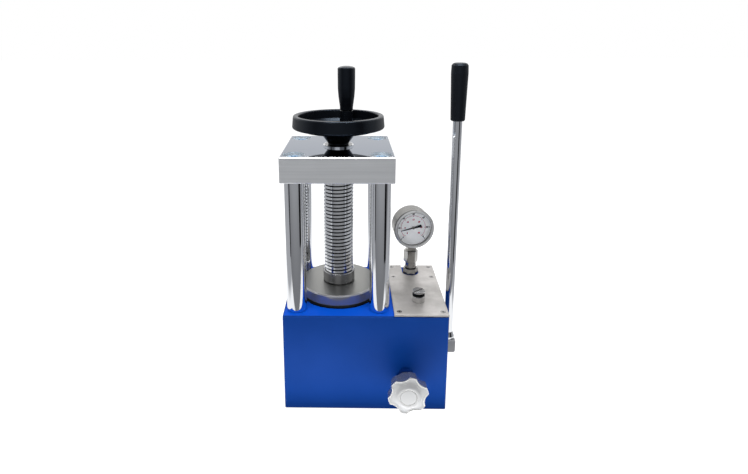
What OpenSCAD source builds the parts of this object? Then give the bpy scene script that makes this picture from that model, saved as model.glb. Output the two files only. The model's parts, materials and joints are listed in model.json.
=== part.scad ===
// Table-top hydraulic press with four columns, a hand pump, a lead screw and a pressure gauge.
// The press axis is the Z axis and the underside of the base is at Z = 0.
// X points to the pump lever, Y points to the back. Sizes are in millimetres.

/* [Base casting] */
// From the press axis to the left wall
base_left = 76.5; // [75:0.5:95]
// From the press axis to the right wall
base_right = 153.5; // [148:0.5:175]
// Depth from front to back, centred on the press axis
base_depth = 160; // [156:1:190]
// Height of the casting
base_height = 146; // [138:1:170]
// Bevel along the edges of the casting
base_bevel = 1.4; // [0.5:0.1:3]
// From the press axis to the left side of the oil tank
tank_left = 92; // [91:0.5:94]
// From the press axis back to the rear side of the oil tank
tank_rear = 28; // [18:0.5:30]
// Thickness of the tank wall at the front
tank_front_wall = 16; // [14:0.5:18]
// Thickness of the tank wall at the right
tank_right_wall = 14.5; // [13:0.5:16]
// Height of the tank floor
tank_floor = 12; // [8:0.5:16]
// Diameter of the drilled oil ways
oilway_d = 5; // [3:0.5:6]

/* [Tank cover] */
// From the press axis to the left edge of the cover
cover_left = 78; // [76:0.5:79]
// Thickness of the cover sheet
cover_t = 3; // [2:0.5:5]
// Width of the slot round the gauge fitting
notch_w = 26.5; // [25:0.5:30]
// From the cover's edge to the axes of its screws
cover_screw_inset = 7.5; // [6:0.5:8]
// Thread diameter of the cover screws
cover_screw_d = 4; // [3:0.5:5]
// Head diameter of the cover screws
cover_head_d = 7.6; // [6:0.2:9]

/* [Columns] */
// Diameter of a column
column_d = 28; // [24:0.5:30]
// Distance between column axes, both ways
column_pitch = 116.4; // [114:0.2:120]
// Clear height between base and top plate
daylight = 188.4; // [170:1:230]
// Diameter of the spigot in the base
spigot_d = 20; // [16:0.5:22]
// Length of the spigot in the base
spigot_len = 26; // [18:1:40]
// Thread diameter of the screw in the column's top
cap_thread_d = 16; // [10:1:18]
// Head diameter of that screw
cap_head_d = 24; // [20:0.5:27]
// Head height of that screw
cap_head_h = 16; // [10:0.5:18]
// Length of that screw under its head
cap_shank = 38; // [30:1:60]
// Size across the flats of its hex socket
cap_socket = 14; // [8:0.5:16]

/* [Top plate] */
// Side of the square plate
plate_w = 152.5; // [150:0.5:170]
// Thickness of the plate
plate_t = 35.6; // [30:0.2:50]
// Bevel along the edges of the plate
plate_bevel = 1.2; // [0.5:0.1:3]
// Diameter of the recesses for the column screws
recess_d = 30; // [28:0.5:33]
// Depth of those recesses
recess_depth = 19; // [17:0.5:24]

/* [Ram] */
// Diameter of the ram
ram_d = 114; // [106:1:118]
// Length of the ram
ram_len = 90; // [75:1:100]
// Height of the ram's top over the base
ram_rise = 18; // [15:0.5:24]
// Travel of the ram from this position down to its stop
ram_drop = 12.5; // [8:0.5:13]
// Bevel round the ram's top
ram_bevel = 1.6; // [0.5:0.1:4]
// Height of the seal on the ram
ram_seal_h = 8; // [5:0.5:12]
// Depth of the seal groove
ram_seal_t = 5; // [3:0.5:8]
// Outer diameter of the wiper ring round the ram
wiper_d = 119.6; // [119:0.2:124]
// Height of the wiper ring over the base
wiper_rise = 3; // [2:0.5:6]
// Depth of the wiper ring's seat
wiper_seat = 5; // [3:0.5:8]

/* [Lead screw and pad] */
// Outer diameter of the lead screw's thread
screw_d = 43.6; // [40:0.2:46]
// Pitch of the thread
screw_pitch = 5.35; // [3:0.05:10]
// Height of the screw's shoulder over the top plate
screw_stand = 2.6; // [2:0.1:20]
// Diameter of the pressure pad
pad_d = 47; // [46.5:0.5:56]
// Height of the pressure pad
pad_h = 16.6; // [14:0.2:24]
// Diameter of the screw's nose in the pad
nose_d = 34; // [26:0.5:36]
// Length of the screw's nose in the pad
nose_len = 11; // [9:0.5:12]
// Diameter of the thrust ball under the nose
thrust_ball_d = 10; // [8:0.5:12]
// Gap between the screw's shoulder and the pad's rim
pad_gap = 1; // [0.4:0.1:3]

/* [Handwheel] */
// Outer diameter of the wheel at the foot of its rim
wheel_d = 131.4; // [122:0.2:150]
// Height of the wheel's rim
rim_h = 18.6; // [16:0.2:26]
// Thickness of the rim at its lip
rim_t = 7.6; // [6:0.2:10]
// Height of the rim's foot over the hub's foot
rim_lift = 23.4; // [20:0.2:32]
// Thickness of the wheel's dish
dish_t = 5; // [4:0.5:7]
// Height of the dish's floor over the rim's foot
dish_rise = 1.6; // [0:0.2:3]
// Diameter of the hub at its foot
hub_foot_d = 30; // [26:0.5:36]
// Height of the straight part of the hub
hub_straight = 2; // [1:0.5:8]
// Diameter of the hub where it meets the dish
hub_d = 56; // [50:0.5:60]
// Depth of the recess for the wheel's nut
nut_recess = 10; // [6:0.5:12]
// Diameter of the screw's shank in the hub
shank_d = 16; // [12:0.5:18]
// Size across the flats of the wheel's nut
wheel_nut_af = 24; // [20:1:30]
// Height of the wheel's nut
wheel_nut_h = 8; // [5:0.5:9]

/* [Revolving handle] */
// Distance of the handle's axis from the wheel's edge
handle_inset = 19.7; // [18.5:0.1:22]
// Bearing of the handle on the wheel, from X towards Y
handle_bearing = 76; // [0:1:360]
// Diameter of the handle near its foot
handle_foot_d = 19.4; // [16:0.2:22]
// Diameter of the handle near its top
handle_top_d = 26.2; // [22:0.2:30]
// Length of the handle under its cap
handle_len = 62; // [45:0.5:80]
// Height of the domed cap
handle_cap_h = 4; // [2:0.2:8]
// Diameter of the handle's spindle
handle_pin_d = 9; // [6:0.5:11]
// Diameter of the boss under the handle
handle_boss_d = 20; // [16:0.5:21]

/* [Pump lever] */
// Depth of the lever's axis, from the press axis
lever_y = -10; // [-14:0.5:-6]
// Height of the lever's axis
lever_z = 60; // [56:0.5:64]
// Diameter of the rocker shaft
shaft_d = 14; // [12:0.5:16]
// Diameter of the shaft's end in the socket block
shaft_end_d = 11; // [9:0.5:12]
// Outer diameter of the shaft's bush
bush_d = 20; // [18:0.5:24]
// Diameter of the bush's flange
bush_flange_d = 28; // [24:0.5:32]
// Thickness of the bush's flange
bush_flange_t = 3.5; // [2.5:0.5:5]
// Width of the socket block along the shaft
socket_w = 19; // [18:0.5:24]
// Depth of the socket block
socket_depth = 22; // [20:0.5:28]
// Height of the socket block
socket_h = 20; // [19:0.5:26]
// Height of the block's top over the shaft axis
socket_top = 13; // [12:0.5:16]
// Diameter of the lever rod
rod_d = 13; // [10:0.5:16]
// Diameter of the rod's threaded end
rod_end_d = 8.5; // [6:0.5:10]
// Diameter of the rod's foot on the block
rod_foot_d = 18.4; // [16:0.2:19]
// Height of the rod's foot
rod_foot_h = 11; // [6:0.5:16]
// Height of the grip's foot over the shaft axis
grip_start = 347.6; // [240:1:420]
// Length of the grip
grip_len = 80; // [60:1:120]
// Diameter of the grip at its foot
grip_foot_d = 20; // [18:0.2:24]
// Diameter of the grip near its top
grip_top_d = 23.8; // [20:0.2:28]
// Swing of the lever to either side of upright, in degrees
lever_swing = 35; // [20:1:35]

/* [Pump] */
// Distance from the shaft axis to the crank pin
crank_r = 12; // [10:0.5:13]
// Diameter of the crank pin
crank_pin_d = 8; // [6:0.5:9]
// Thickness of the crank arm
crank_t = 8; // [6:0.5:9]
// Diameter of the plunger
plunger_d = 12; // [9:0.5:14]
// Height of the pump block
pump_h = 28; // [26:0.5:30]
// Width of the pump block
pump_w = 26; // [24:0.5:27]
// Distance between the plunger and the valve bore
valve_bore_offset = 16; // [15.5:0.5:18]
// Diameter of the valve balls
ball_d = 7; // [6:0.5:8]
// Diameter of the valve seats
seat_d = 5; // [3.5:0.25:5]
// Lift of the valve balls
ball_lift = 1.2; // [0.6:0.1:1.6]

/* [Release valve] */
// Place of the valve's spindle from the press axis to the right
valve_x = 95; // [93:0.5:99]
// Height of the valve's spindle
valve_z = 53.5; // [50:0.5:58]
// Diameter of the spindle
spindle_d = 8; // [6:0.5:9]
// Pitch of the spindle's thread
spindle_pitch = 1.5; // [1:0.25:2]
// Size across the flats of the gland nut
gland_af = 24; // [20:1:27]
// Height of the gland nut
gland_h = 6; // [4:0.5:9]
// Distance of the knob's face from the base
knob_stand = 42; // [40:0.5:60]
// Diameter over the knob's lobes
knob_d = 56; // [50:0.5:64]
// Depth of the hollows between the lobes
knob_hollow = 5; // [3:0.25:7]
// Number of lobes
knob_lobes = 6; // [5:1:8]
// Turn of the first lobe, in degrees
knob_turn = 14; // [0:1:60]
// Thickness of the knob's rim
knob_t = 17; // [12:0.5:20]
// Diameter of the hub behind the knob
knob_hub_d = 30; // [24:0.5:34]
// Length of the hub behind the knob
knob_hub_len = 12; // [6:0.5:14]
// Diameter of the cap in the knob's face
knob_cap_d = 27; // [22:0.5:30]

/* [Gauge] */
// Place of the gauge from the press axis to the right
gauge_x = 114.4; // [110:0.2:118]
// Place of the gauge's stem behind the press axis
gauge_y = 55; // [52:0.5:57]
// Height of the gauge's centre over the base
gauge_rise = 83.5; // [80:0.5:100]
// Turn of the gauge about its stem, to the right
gauge_turn = 7; // [-20:1:20]
// Outer diameter of the case
case_d = 59.4; // [56:0.2:66]
// Depth of the case with its bezel
case_depth = 36; // [34:0.5:42]
// Thickness of the case wall
case_t = 1.5; // [1:0.1:2.5]
// How far the bezel stands out round the case
bezel_step = 1.8; // [1:0.1:3]
// Width of the bezel's lip over the glass
bezel_lip = 3.2; // [2:0.1:5]
// Distance from the case's back to the stem axis
stem_inset = 14; // [12:0.5:16]
// Side of the square stem
stem_w = 13.5; // [10:0.5:15]
// Direction of the pointer at rest, in degrees from X
pointer_angle = 193.6; // [150:0.2:220]
// Size across the flats of the union nut
union_af = 19.6; // [19:0.2:24]
// Height of the union nut
union_h = 18.8; // [12:0.2:22]
// Diameter of the adapter's neck
adapter_d = 17.4; // [15:0.2:18]
// Length of the adapter's neck
adapter_neck = 11; // [6:0.2:14]
// Size across the flats of the adapter's hexagon
adapter_af = 20.8; // [19:0.2:24]
// Height of the adapter's hexagon
adapter_hex_h = 11.4; // [8:0.2:14]
// Thickness of the seal on the adapter's hexagon
adapter_seal_t = 1.3; // [1:0.1:3]
// Diameter of the threaded port in the base
port_d = 14; // [12:0.5:15]

/* [Oil filler] */
// Place of the filler from the press axis to the right
filler_x = 115.7; // [112:0.1:120]
// Place of the filler in depth
filler_y = -40; // [-46:0.5:-34]
// Diameter of the filler's bush over the cover
filler_d = 18.4; // [16:0.2:24]
// Height of the filler's bush over the cover
filler_h = 9; // [5:0.5:14]
// Diameter of the plug's head
plug_head_d = 19; // [16:0.2:24]
// Height of the plug's head
plug_head_h = 2.6; // [2:0.2:6]
// Thickness of the rubber seal under the head
plug_seal_t = 4.8; // [2:0.2:6]
// Diameter of the plug's threaded shank
plug_shank_d = 11; // [8:0.5:12]
// Length of the plug's shank
plug_shank_len = 18; // [14:0.5:24]

/* [Hidden] */
$fn = 96;

// Clearances: a seat that is pressed or screwed home, a running fit, and parts that pass each other
seat_gap = 0.03;
run_gap = 0.06;
pass_gap = 0.4;
over = 1;

// Base and frame
base_front = -base_depth / 2;
base_rear = base_depth / 2;
plate_z = base_height + daylight;
plate_top = plate_z + plate_t;
cover_top = base_height + cover_t;
tank_right = base_right - tank_right_wall;
tank_front = base_front + tank_front_wall;
column_at = column_pitch / 2;
column_signs = [[-1, -1], [1, -1], [-1, 1], [1, 1]];

// Cover screws: two at the front, two behind the tank and two at the back
cover_screw_xs = [cover_left + cover_screw_inset, base_right - cover_screw_inset];
cover_screw_ys = [
    base_front + cover_screw_inset + 1.5,
    tank_rear + cover_screw_inset + 1.5,
    base_rear - cover_screw_inset
];
cover_screw_len = 12;
cover_head_h = (cover_head_d - cover_screw_d) / 2;

// Ram in its bore
ram_top = base_height + ram_rise;
ram_foot = ram_top - ram_len;
bore_d = ram_d + 2 * run_gap;
bore_floor = ram_foot - ram_drop - pass_gap;
chamber_d = ram_d - 10;
chamber_h = 6;
gallery_z = bore_floor - chamber_h / 2;
ram_seal_z = ram_foot + 8;

// Lead screw, pad and handwheel
pad_foot = ram_top + pass_gap;
pad_top = pad_foot + pad_h;
shoulder_z = pad_top + pad_gap;
screw_top = plate_top + screw_stand;
nose_z = shoulder_z - nose_len - pad_gap;
thrust_z = pad_foot + 2.5 + thrust_ball_d / 2;
groove_z = pad_top - 4.5;
groove_w = 4;
groove_t = 3;
hub_z = screw_top;
rim_z = hub_z + rim_lift;
rim_top = rim_z + rim_h;
dish_top = rim_z + dish_rise;
dish_foot = dish_top - dish_t;
wheel_r = wheel_d / 2;
washer_t = 2;
washer_d = 30;
nut_seat = dish_top - nut_recess;
nut_z = nut_seat + washer_t;
handle_r = wheel_r - handle_inset;
handle_x = handle_r * cos(handle_bearing);
handle_y = handle_r * sin(handle_bearing);
handle_boss_top = rim_top;
handle_foot = handle_boss_top + pass_gap;
handle_top = handle_foot + handle_len;
pin_head_d = handle_pin_d + 5;
pin_head_h = 4;
pin_head_z = handle_top - 10;

// Pump lever, outside the right wall
flange_face = base_right + bush_flange_t;
socket_x0 = flange_face + pass_gap;
socket_x1 = socket_x0 + socket_w;
lever_x = (socket_x0 + socket_x1) / 2;
socket_z1 = lever_z + socket_top;
socket_z0 = socket_z1 - socket_h;
rod_end_len = socket_top - shaft_end_d / 2 - 0.5;
rod_top = lever_z + grip_start + grip_len - 14;
rod_neck_d = rod_d - 2;
grub_d = 5;
grip_z = lever_z + grip_start;

// Pump in the tank
crank_x1 = tank_right - 3;
crank_x0 = crank_x1 - crank_t;
yoke_gap = 1;
yoke_w = 14;
yoke_h = 13;
yoke_front = 11;
yoke_rear = 13;
yoke_x1 = crank_x0 - yoke_gap;
pump_x = yoke_x1 - yoke_w / 2;
plunger_y = lever_y - crank_r;
pump_x0 = pump_x - pump_w / 2;
pump_x1 = pump_x + pump_w / 2;
pump_top = tank_floor + pump_h;
pump_front_wall = 8;
pump_rear_wall = 14;
pump_y0 = plunger_y - valve_bore_offset - pump_front_wall;
pump_y1 = plunger_y + pump_rear_wall;
valve_bore_y = plunger_y - valve_bore_offset;
chamber_z = tank_floor + 3;
gland_flange_t = 4;
gland_spigot = 6;
plunger_seal_h = 3;
plunger_seal_d = plunger_d + 4;
plunger_travel = crank_r * sin(lever_swing);
plunger_foot = chamber_z + plunger_travel + 1;
slot_gap = 0.4;
suction_seat_z = tank_floor + 4.5;
suction_top = suction_seat_z + ball_d + ball_lift;
delivery_seat_z = suction_top + 2.5;
ball_chamber_d = ball_d + 2;
inlet_d = 2.8;
ball_sit = sqrt(pow(ball_d / 2, 2) - pow(seat_d / 2, 2)) + 0.05;
delivery_plug_z = pump_top - 2.2;
spring_wire = 0.7;
spring_d = ball_d - 1.6;
spring_turns = 2.5;
spring_z0 = delivery_seat_z + ball_sit + ball_d / 2 + spring_wire / 2 + 0.1;
spring_z1 = delivery_plug_z - spring_wire / 2 - 0.1;

// Release valve in the boss between tank and cylinder
boss_x1 = pump_x0;
boss_y1 = valve_bore_y + 8;
boss_top = max(valve_z, gallery_z) + 10;
valve_seat_y = valve_bore_y - 6;
valve_ball_y = valve_seat_y - ball_sit;
spindle_tip = valve_ball_y - ball_d / 2 - 0.05;
valve_bore_d = ball_d + 2;
gland_spigot_d = 16;
gland_spigot_len = 12;
knob_face = base_front - knob_stand;
knob_back = knob_face + knob_t;
knob_dish = 4;
knob_cap_t = 5;
spindle_end = knob_face + knob_dish + knob_cap_t + 1;

// Gauge
gauge_z = base_height + gauge_rise;
bezel_d = case_d + 2 * bezel_step;
bezel_window = case_d - 2 * bezel_lip;
bezel_h = 9;
dial_at = case_depth - 11;
dial_t = 0.8;
glass_t = 2.4;
glass_at = case_depth - 1.6 - glass_t;
pointer_at = dial_at + dial_t + 1.2;
pointer_t = 0.8;
pointer_len = bezel_window / 2 - 5;
tail_len = pointer_len * 0.48;
arbor_d = 2.4;
stem_foot = base_height + adapter_hex_h + adapter_neck;
union_z = stem_foot;
union_top = union_z + union_h;
case_foot = gauge_z - case_d / 2;
tube_r = case_d / 2 - 10.2;
tube_w = 7;
tube_t = 3;
tube_start = -acos((stem_w / 2 + pass_gap) / (tube_r - tube_t / 2));
tube_sweep = 180 - tube_start;
stem_bore_d = 4;
socket_drop = 8;
movement_back = stem_inset - 5;
movement_front = stem_inset + 5;

// Filler
filler_top = cover_top + filler_h;
plug_seal_top = filler_top + plug_seal_t;
plug_top = plug_seal_top + plug_head_h;
filler_spigot_d = filler_d - 4;
filler_spigot_len = cover_t + 6;
slot_w = 2.2;
slot_depth = 1.6;
slot_turn = 35;

// Small shapes that repeat

module bevel_rect(a0, a1, b0, b1, c) {
    polygon([
        [a0 + c, b0], [a1 - c, b0], [a1, b0 + c], [a1, b1 - c],
        [a1 - c, b1], [a0 + c, b1], [a0, b1 - c], [a0, b0 + c]
    ]);
}

// A block between two corners with every edge bevelled
module bevel_block(lo, hi, c) {
    intersection() {
        translate([0, 0, lo[2]])
            linear_extrude(hi[2] - lo[2])
                bevel_rect(lo[0], hi[0], lo[1], hi[1], c);
        translate([0, hi[1], 0])
            rotate([90, 0, 0])
                linear_extrude(hi[1] - lo[1])
                    bevel_rect(lo[0], hi[0], lo[2], hi[2], c);
        translate([lo[0], 0, 0])
            rotate([90, 0, 90])
                linear_extrude(hi[0] - lo[0])
                    bevel_rect(lo[1], hi[1], lo[2], hi[2], c);
    }
}

module block(lo, hi) {
    translate(lo) cube(hi - lo);
}

// Local Z along X, from a start point
module along_x(at) {
    translate(at) rotate([0, 90, 0]) children();
}

// Local Z towards the front, local Y up
module along_front(at) {
    translate(at) rotate([90, 0, 0]) children();
}

// A shaft with both ends bevelled
module bevel_shaft(d, len, c) {
    rotate_extrude()
        polygon([
            [0, 0], [d / 2 - c, 0], [d / 2, c], [d / 2, len - c], [d / 2 - c, len], [0, len]
        ]);
}

module ring(d_out, d_in, h) {
    difference() {
        cylinder(d = d_out, h = h);
        translate([0, 0, -over]) cylinder(d = d_in, h = h + 2 * over);
    }
}

// A hexagon with its corners turned off at both ends
module hex_prism(af, h) {
    corner = af / sqrt(3);
    cut = corner - af / 2;
    intersection() {
        cylinder(r = corner, h = h, $fn = 6);
        bevel_shaft(2 * corner, h, cut * 0.7);
    }
}

module grub_screw(d, len, socket) {
    difference() {
        bevel_shaft(d, len, d * 0.1);
        translate([0, 0, len - d * 0.6])
            cylinder(r = socket / sqrt(3), h = d, $fn = 6);
    }
}

// Base and frame pieces

module base_block() {
    bevel_block([-base_left, base_front, 0], [base_right, base_rear, base_height], base_bevel);
}

module tank_space() {
    block([tank_left, tank_front, tank_floor], [tank_right, tank_rear, base_height + over]);
}

// The corner of the tank that stays solid for the release valve
module valve_boss() {
    block(
        [tank_left - over, tank_front - over, tank_floor - over],
        [boss_x1, boss_y1, boss_top]
    );
}

module oil_ways() {
    chamber_reach = chamber_d / 2 - 4;
    gauge_way_y = min(gauge_y - port_d / 2, chamber_d / 2 - 2 * oilway_d);
    gauge_way_x = sqrt(pow(chamber_d / 2, 2) - pow(gauge_way_y, 2)) - 3;
    // pump outlet to the gallery
    along_x([valve_x, valve_bore_y, delivery_seat_z + ball_sit])
        cylinder(d = oilway_d, h = boss_x1 - valve_x + over);
    translate([valve_x, valve_bore_y, delivery_seat_z + ball_sit - oilway_d / 4])
        cylinder(d = oilway_d, h = gallery_z - delivery_seat_z - ball_sit + oilway_d / 2);
    // gallery to the cylinder
    along_x([sqrt(pow(chamber_reach, 2) - pow(valve_bore_y, 2)), valve_bore_y, gallery_z])
        cylinder(d = oilway_d, h = valve_x - sqrt(pow(chamber_reach, 2) - pow(valve_bore_y, 2)));
    // cylinder to the gauge port
    along_x([gauge_way_x, gauge_way_y, gallery_z])
        cylinder(d = oilway_d, h = gauge_x - gauge_way_x + oilway_d / 4);
    along_front([gauge_x, gauge_y, gallery_z])
        cylinder(d = oilway_d, h = gauge_y - gauge_way_y + oilway_d / 4);
    // release valve: its bore, its seat and the way back to the tank
    along_front([valve_x, valve_seat_y, valve_z])
        cylinder(d = valve_bore_d, h = valve_seat_y - base_front + over);
    along_front([valve_x, valve_bore_y, valve_z])
        cylinder(d = seat_d, h = valve_bore_y - valve_seat_y + over);
    along_front([valve_x, base_front + gland_spigot_len + 0.5, valve_z])
        cylinder(d = gland_spigot_d + 2 * seat_gap, h = gland_spigot_len + over);
    along_x([valve_x + valve_bore_d / 4, valve_ball_y - ball_d / 2, valve_z])
        cylinder(d = oilway_d - 1, h = boss_x1 - valve_x - valve_bore_d / 4 + over);
}

module base_housing() {
    color("royalblue")
        difference() {
            union() {
                difference() {
                    base_block();
                    tank_space();
                }
                valve_boss();
            }
            translate([0, 0, bore_floor]) cylinder(d = bore_d, h = base_height);
            translate([0, 0, bore_floor - chamber_h]) cylinder(d = chamber_d, h = chamber_h + over);
            translate([0, 0, base_height - wiper_seat])
                cylinder(d = wiper_d + 2 * seat_gap, h = wiper_seat + over);
            for (s = column_signs)
                translate([s[0] * column_at, s[1] * column_at, base_height - spigot_len - 1])
                    cylinder(d = spigot_d + 2 * seat_gap, h = spigot_len + 1 + over);
            for (x = cover_screw_xs, y = cover_screw_ys)
                translate([x, y, cover_top - cover_screw_len - 1])
                    cylinder(d = cover_screw_d + 2 * seat_gap, h = cover_screw_len + 2);
            translate([gauge_x, gauge_y, gallery_z - oilway_d])
                cylinder(d = port_d + 2 * seat_gap, h = base_height);
            along_x([tank_right - over, lever_y, lever_z])
                cylinder(d = bush_d + 2 * seat_gap, h = tank_right_wall + 2 * over);
            oil_ways();
        }
}

module tank_cover() {
    notch_r = notch_w / 2;
    color("lightgray")
        difference() {
            bevel_block([cover_left, base_front, base_height], [base_right, base_rear, cover_top], 0.4);
            translate([gauge_x, gauge_y, base_height - over]) cylinder(r = notch_r, h = cover_t + 2 * over);
            block(
                [gauge_x - notch_r, gauge_y, base_height - over],
                [gauge_x + notch_r, base_rear + over, cover_top + over]
            );
            for (x = cover_screw_xs, y = cover_screw_ys)
                translate([x, y, 0]) {
                    cylinder(d = cover_screw_d + 2 * seat_gap, h = cover_top + over);
                    translate([0, 0, cover_top - cover_head_h])
                        cylinder(
                            d1 = cover_screw_d + 2 * seat_gap,
                            d2 = cover_head_d + 2 * seat_gap,
                            h = cover_head_h
                        );
                }
            translate([filler_x, filler_y, base_height - over])
                cylinder(d = filler_spigot_d + 2 * seat_gap, h = cover_t + 2 * over);
        }
}

module cover_screw() {
    driver_af = cover_screw_d * 0.6;
    difference() {
        union() {
            cylinder(d = cover_screw_d, h = cover_screw_len);
            translate([0, 0, cover_screw_len - cover_head_h])
                cylinder(d1 = cover_screw_d, d2 = cover_head_d, h = cover_head_h);
        }
        translate([0, 0, cover_screw_len - cover_head_h])
            cylinder(r = driver_af / sqrt(3), h = cover_head_h + over, $fn = 6);
    }
}

module cover_screws() {
    color("silver")
        for (x = cover_screw_xs, y = cover_screw_ys)
            translate([x, y, cover_top - cover_screw_len]) cover_screw();
}

// A column stands on the base and carries the plate on its upper end
module column(sx, sy) {
    hole_len = cap_shank - (plate_t - recess_depth) + 4;
    color("gainsboro")
        translate([sx * column_at, sy * column_at, base_height])
            difference() {
                union() {
                    bevel_shaft(column_d, daylight, 0.8);
                    translate([0, 0, -spigot_len]) cylinder(d = spigot_d, h = spigot_len + 1);
                }
                translate([0, 0, daylight - hole_len])
                    cylinder(d = cap_thread_d + 2 * seat_gap, h = hole_len + over);
            }
}

module column_front_left() {
    column(-1, -1);
}

module column_front_right() {
    column(1, -1);
}

module column_rear_left() {
    column(-1, 1);
}

module column_rear_right() {
    column(1, 1);
}

module top_plate() {
    half = plate_w / 2;
    color("lightsteelblue")
        difference() {
            bevel_block([-half, -half, plate_z], [half, half, plate_top], plate_bevel);
            translate([0, 0, plate_z - over])
                cylinder(d = screw_d + 2 * run_gap, h = plate_t + 2 * over);
            for (s = column_signs)
                translate([s[0] * column_at, s[1] * column_at, plate_z - over]) {
                    cylinder(d = cap_thread_d + 2 * seat_gap, h = plate_t + 2 * over);
                    translate([0, 0, plate_t - recess_depth + over])
                        cylinder(d = recess_d, h = recess_depth + over);
                }
        }
}

module cap_screw() {
    difference() {
        union() {
            translate([0, 0, -cap_shank]) cylinder(d = cap_thread_d, h = cap_shank + 1);
            bevel_shaft(cap_head_d, cap_head_h, 1);
        }
        translate([0, 0, cap_head_h * 0.4])
            cylinder(r = cap_socket / sqrt(3), h = cap_head_h, $fn = 6);
    }
}

module column_screws() {
    color("slategray")
        for (s = column_signs)
            translate([s[0] * column_at, s[1] * column_at, plate_top - recess_depth]) cap_screw();
}

// Ram and its rings

module wiper_ring() {
    inner_r = ram_d / 2 + run_gap;
    outer_r = wiper_d / 2;
    low = base_height - wiper_seat;
    high = base_height + wiper_rise;
    color([0.06, 0.06, 0.06])
        rotate_extrude()
            polygon([
                [inner_r, low], [outer_r, low], [outer_r, high - 1.2],
                [inner_r + 1, high], [inner_r, high]
            ]);
}

module ram() {
    r = ram_d / 2;
    groove_r = r - ram_seal_t;
    color("silver")
        rotate_extrude()
            polygon([
                [0, ram_foot], [r - ram_bevel, ram_foot], [r, ram_foot + ram_bevel],
                [r, ram_seal_z], [groove_r, ram_seal_z],
                [groove_r, ram_seal_z + ram_seal_h], [r, ram_seal_z + ram_seal_h],
                [r, ram_top - ram_bevel], [r - ram_bevel, ram_top], [0, ram_top]
            ]);
}

module ram_seal() {
    color([0.1, 0.1, 0.1])
        translate([0, 0, ram_seal_z + seat_gap])
            ring(ram_d, ram_d - 2 * ram_seal_t + 2 * seat_gap, ram_seal_h - 2 * seat_gap);
}

// Lead screw, pad and handwheel

module lead_screw() {
    r = screw_d / 2;
    nose_r = nose_d / 2;
    bevel = screw_pitch / 4;
    shank_top = nut_z + wheel_nut_h;
    color("silver")
        difference() {
            rotate_extrude()
                polygon([
                    [0, nose_z], [nose_r - 1, nose_z], [nose_r, nose_z + 1],
                    [nose_r, groove_z], [nose_r - groove_t, groove_z],
                    [nose_r - groove_t, groove_z + groove_w], [nose_r, groove_z + groove_w],
                    [nose_r, shoulder_z], [r - bevel, shoulder_z], [r, shoulder_z + bevel],
                    [r, screw_top - 0.8], [r - 0.8, screw_top], [shank_d / 2, screw_top],
                    [shank_d / 2, shank_top - 1.5], [shank_d / 2 - 1.5, shank_top], [0, shank_top]
                ]);
            translate([0, 0, thrust_z]) sphere(d = thrust_ball_d + 2 * run_gap);
            translate([0, 0, nose_z - over])
                cylinder(d = thrust_ball_d + 2 * run_gap, h = thrust_z - nose_z + over);
        }
}

module pressure_pad() {
    r = pad_d / 2;
    pocket_r = nose_d / 2 + run_gap;
    color("lightgray")
        difference() {
            rotate_extrude()
                polygon([
                    [0, pad_foot], [r - 1.2, pad_foot], [r, pad_foot + 1.2],
                    [r, pad_top - 0.8], [r - 0.8, pad_top], [pocket_r, pad_top],
                    [pocket_r, nose_z - pass_gap], [0, nose_z - pass_gap]
                ]);
            translate([0, 0, thrust_z]) sphere(d = thrust_ball_d + 2 * seat_gap);
            translate([0, 0, groove_z + groove_w / 2])
                rotate([-90, 0, 0])
                    cylinder(d = groove_w - 1 + 2 * seat_gap, h = pad_d);
        }
}

module thrust_ball() {
    color("silver")
        translate([0, 0, thrust_z]) sphere(d = thrust_ball_d);
}

// The grub screw that keeps the pad on the nose, seen from the back
module pad_grub_screw() {
    tip = nose_d / 2 - groove_t + pass_gap;
    color("dimgray")
        translate([0, tip, groove_z + groove_w / 2])
            rotate([-90, 0, 0])
                grub_screw(groove_w - 1, pad_d / 2 - tip - 0.6, 1.5);
}

// Points on an arc about (x, z), from angle a0 to angle a1
function arc(x, z, r, a0, a1) =
    [for (i = [0:6])
        let (a = a0 + (a1 - a0) * i / 6)
        [x + r * cos(a), z + r * sin(a)]];

// Dished wheel: hub, thin dish and a deep rim with a rounded lip
module wheel_profile() {
    lip_r = 2.6;
    foot_r = 3;
    hub_r = hub_d / 2;
    foot_hub_r = hub_foot_d / 2;
    lip_out = wheel_r - 1.2;
    lip_in = lip_out - rim_t;
    bore_r = shank_d / 2 + seat_gap;
    recess_r = max(washer_d, wheel_nut_af * 2 / sqrt(3)) / 2 + 2;
    polygon(concat(
        [[bore_r, hub_z], [foot_hub_r - 1, hub_z], [foot_hub_r, hub_z + 1]],
        [[foot_hub_r, hub_z + hub_straight], [hub_r, dish_foot]],
        [[wheel_r - 14, dish_foot], [wheel_r - 11, rim_z]],
        arc(wheel_r - foot_r, rim_z + foot_r, foot_r, -90, 0),
        arc(lip_out - lip_r, rim_top - lip_r, lip_r, 0, 90),
        arc(lip_in + lip_r, rim_top - lip_r, lip_r, 90, 180),
        [[lip_in - 0.8, dish_top + 4], [lip_in - 4, dish_top]],
        [[recess_r, dish_top], [recess_r, nut_seat], [bore_r, nut_seat]]
    ));
}

module handwheel() {
    color([0.07, 0.07, 0.08])
        difference() {
            union() {
                rotate_extrude() wheel_profile();
                translate([handle_x, handle_y, dish_foot + 1])
                    cylinder(d = handle_boss_d, h = handle_boss_top - dish_foot - 1);
            }
            translate([handle_x, handle_y, dish_foot + 3])
                cylinder(d = handle_pin_d - 1 + 2 * seat_gap, h = rim_h + dish_t);
        }
}

module wheel_washer() {
    color("silver")
        translate([0, 0, nut_seat]) ring(washer_d, shank_d + 2 * seat_gap, washer_t);
}

module wheel_nut() {
    color("silver")
        translate([0, 0, nut_z])
            difference() {
                hex_prism(wheel_nut_af, wheel_nut_h);
                translate([0, 0, -over])
                    cylinder(d = shank_d + 2 * seat_gap, h = wheel_nut_h + 2 * over);
            }
}

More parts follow.
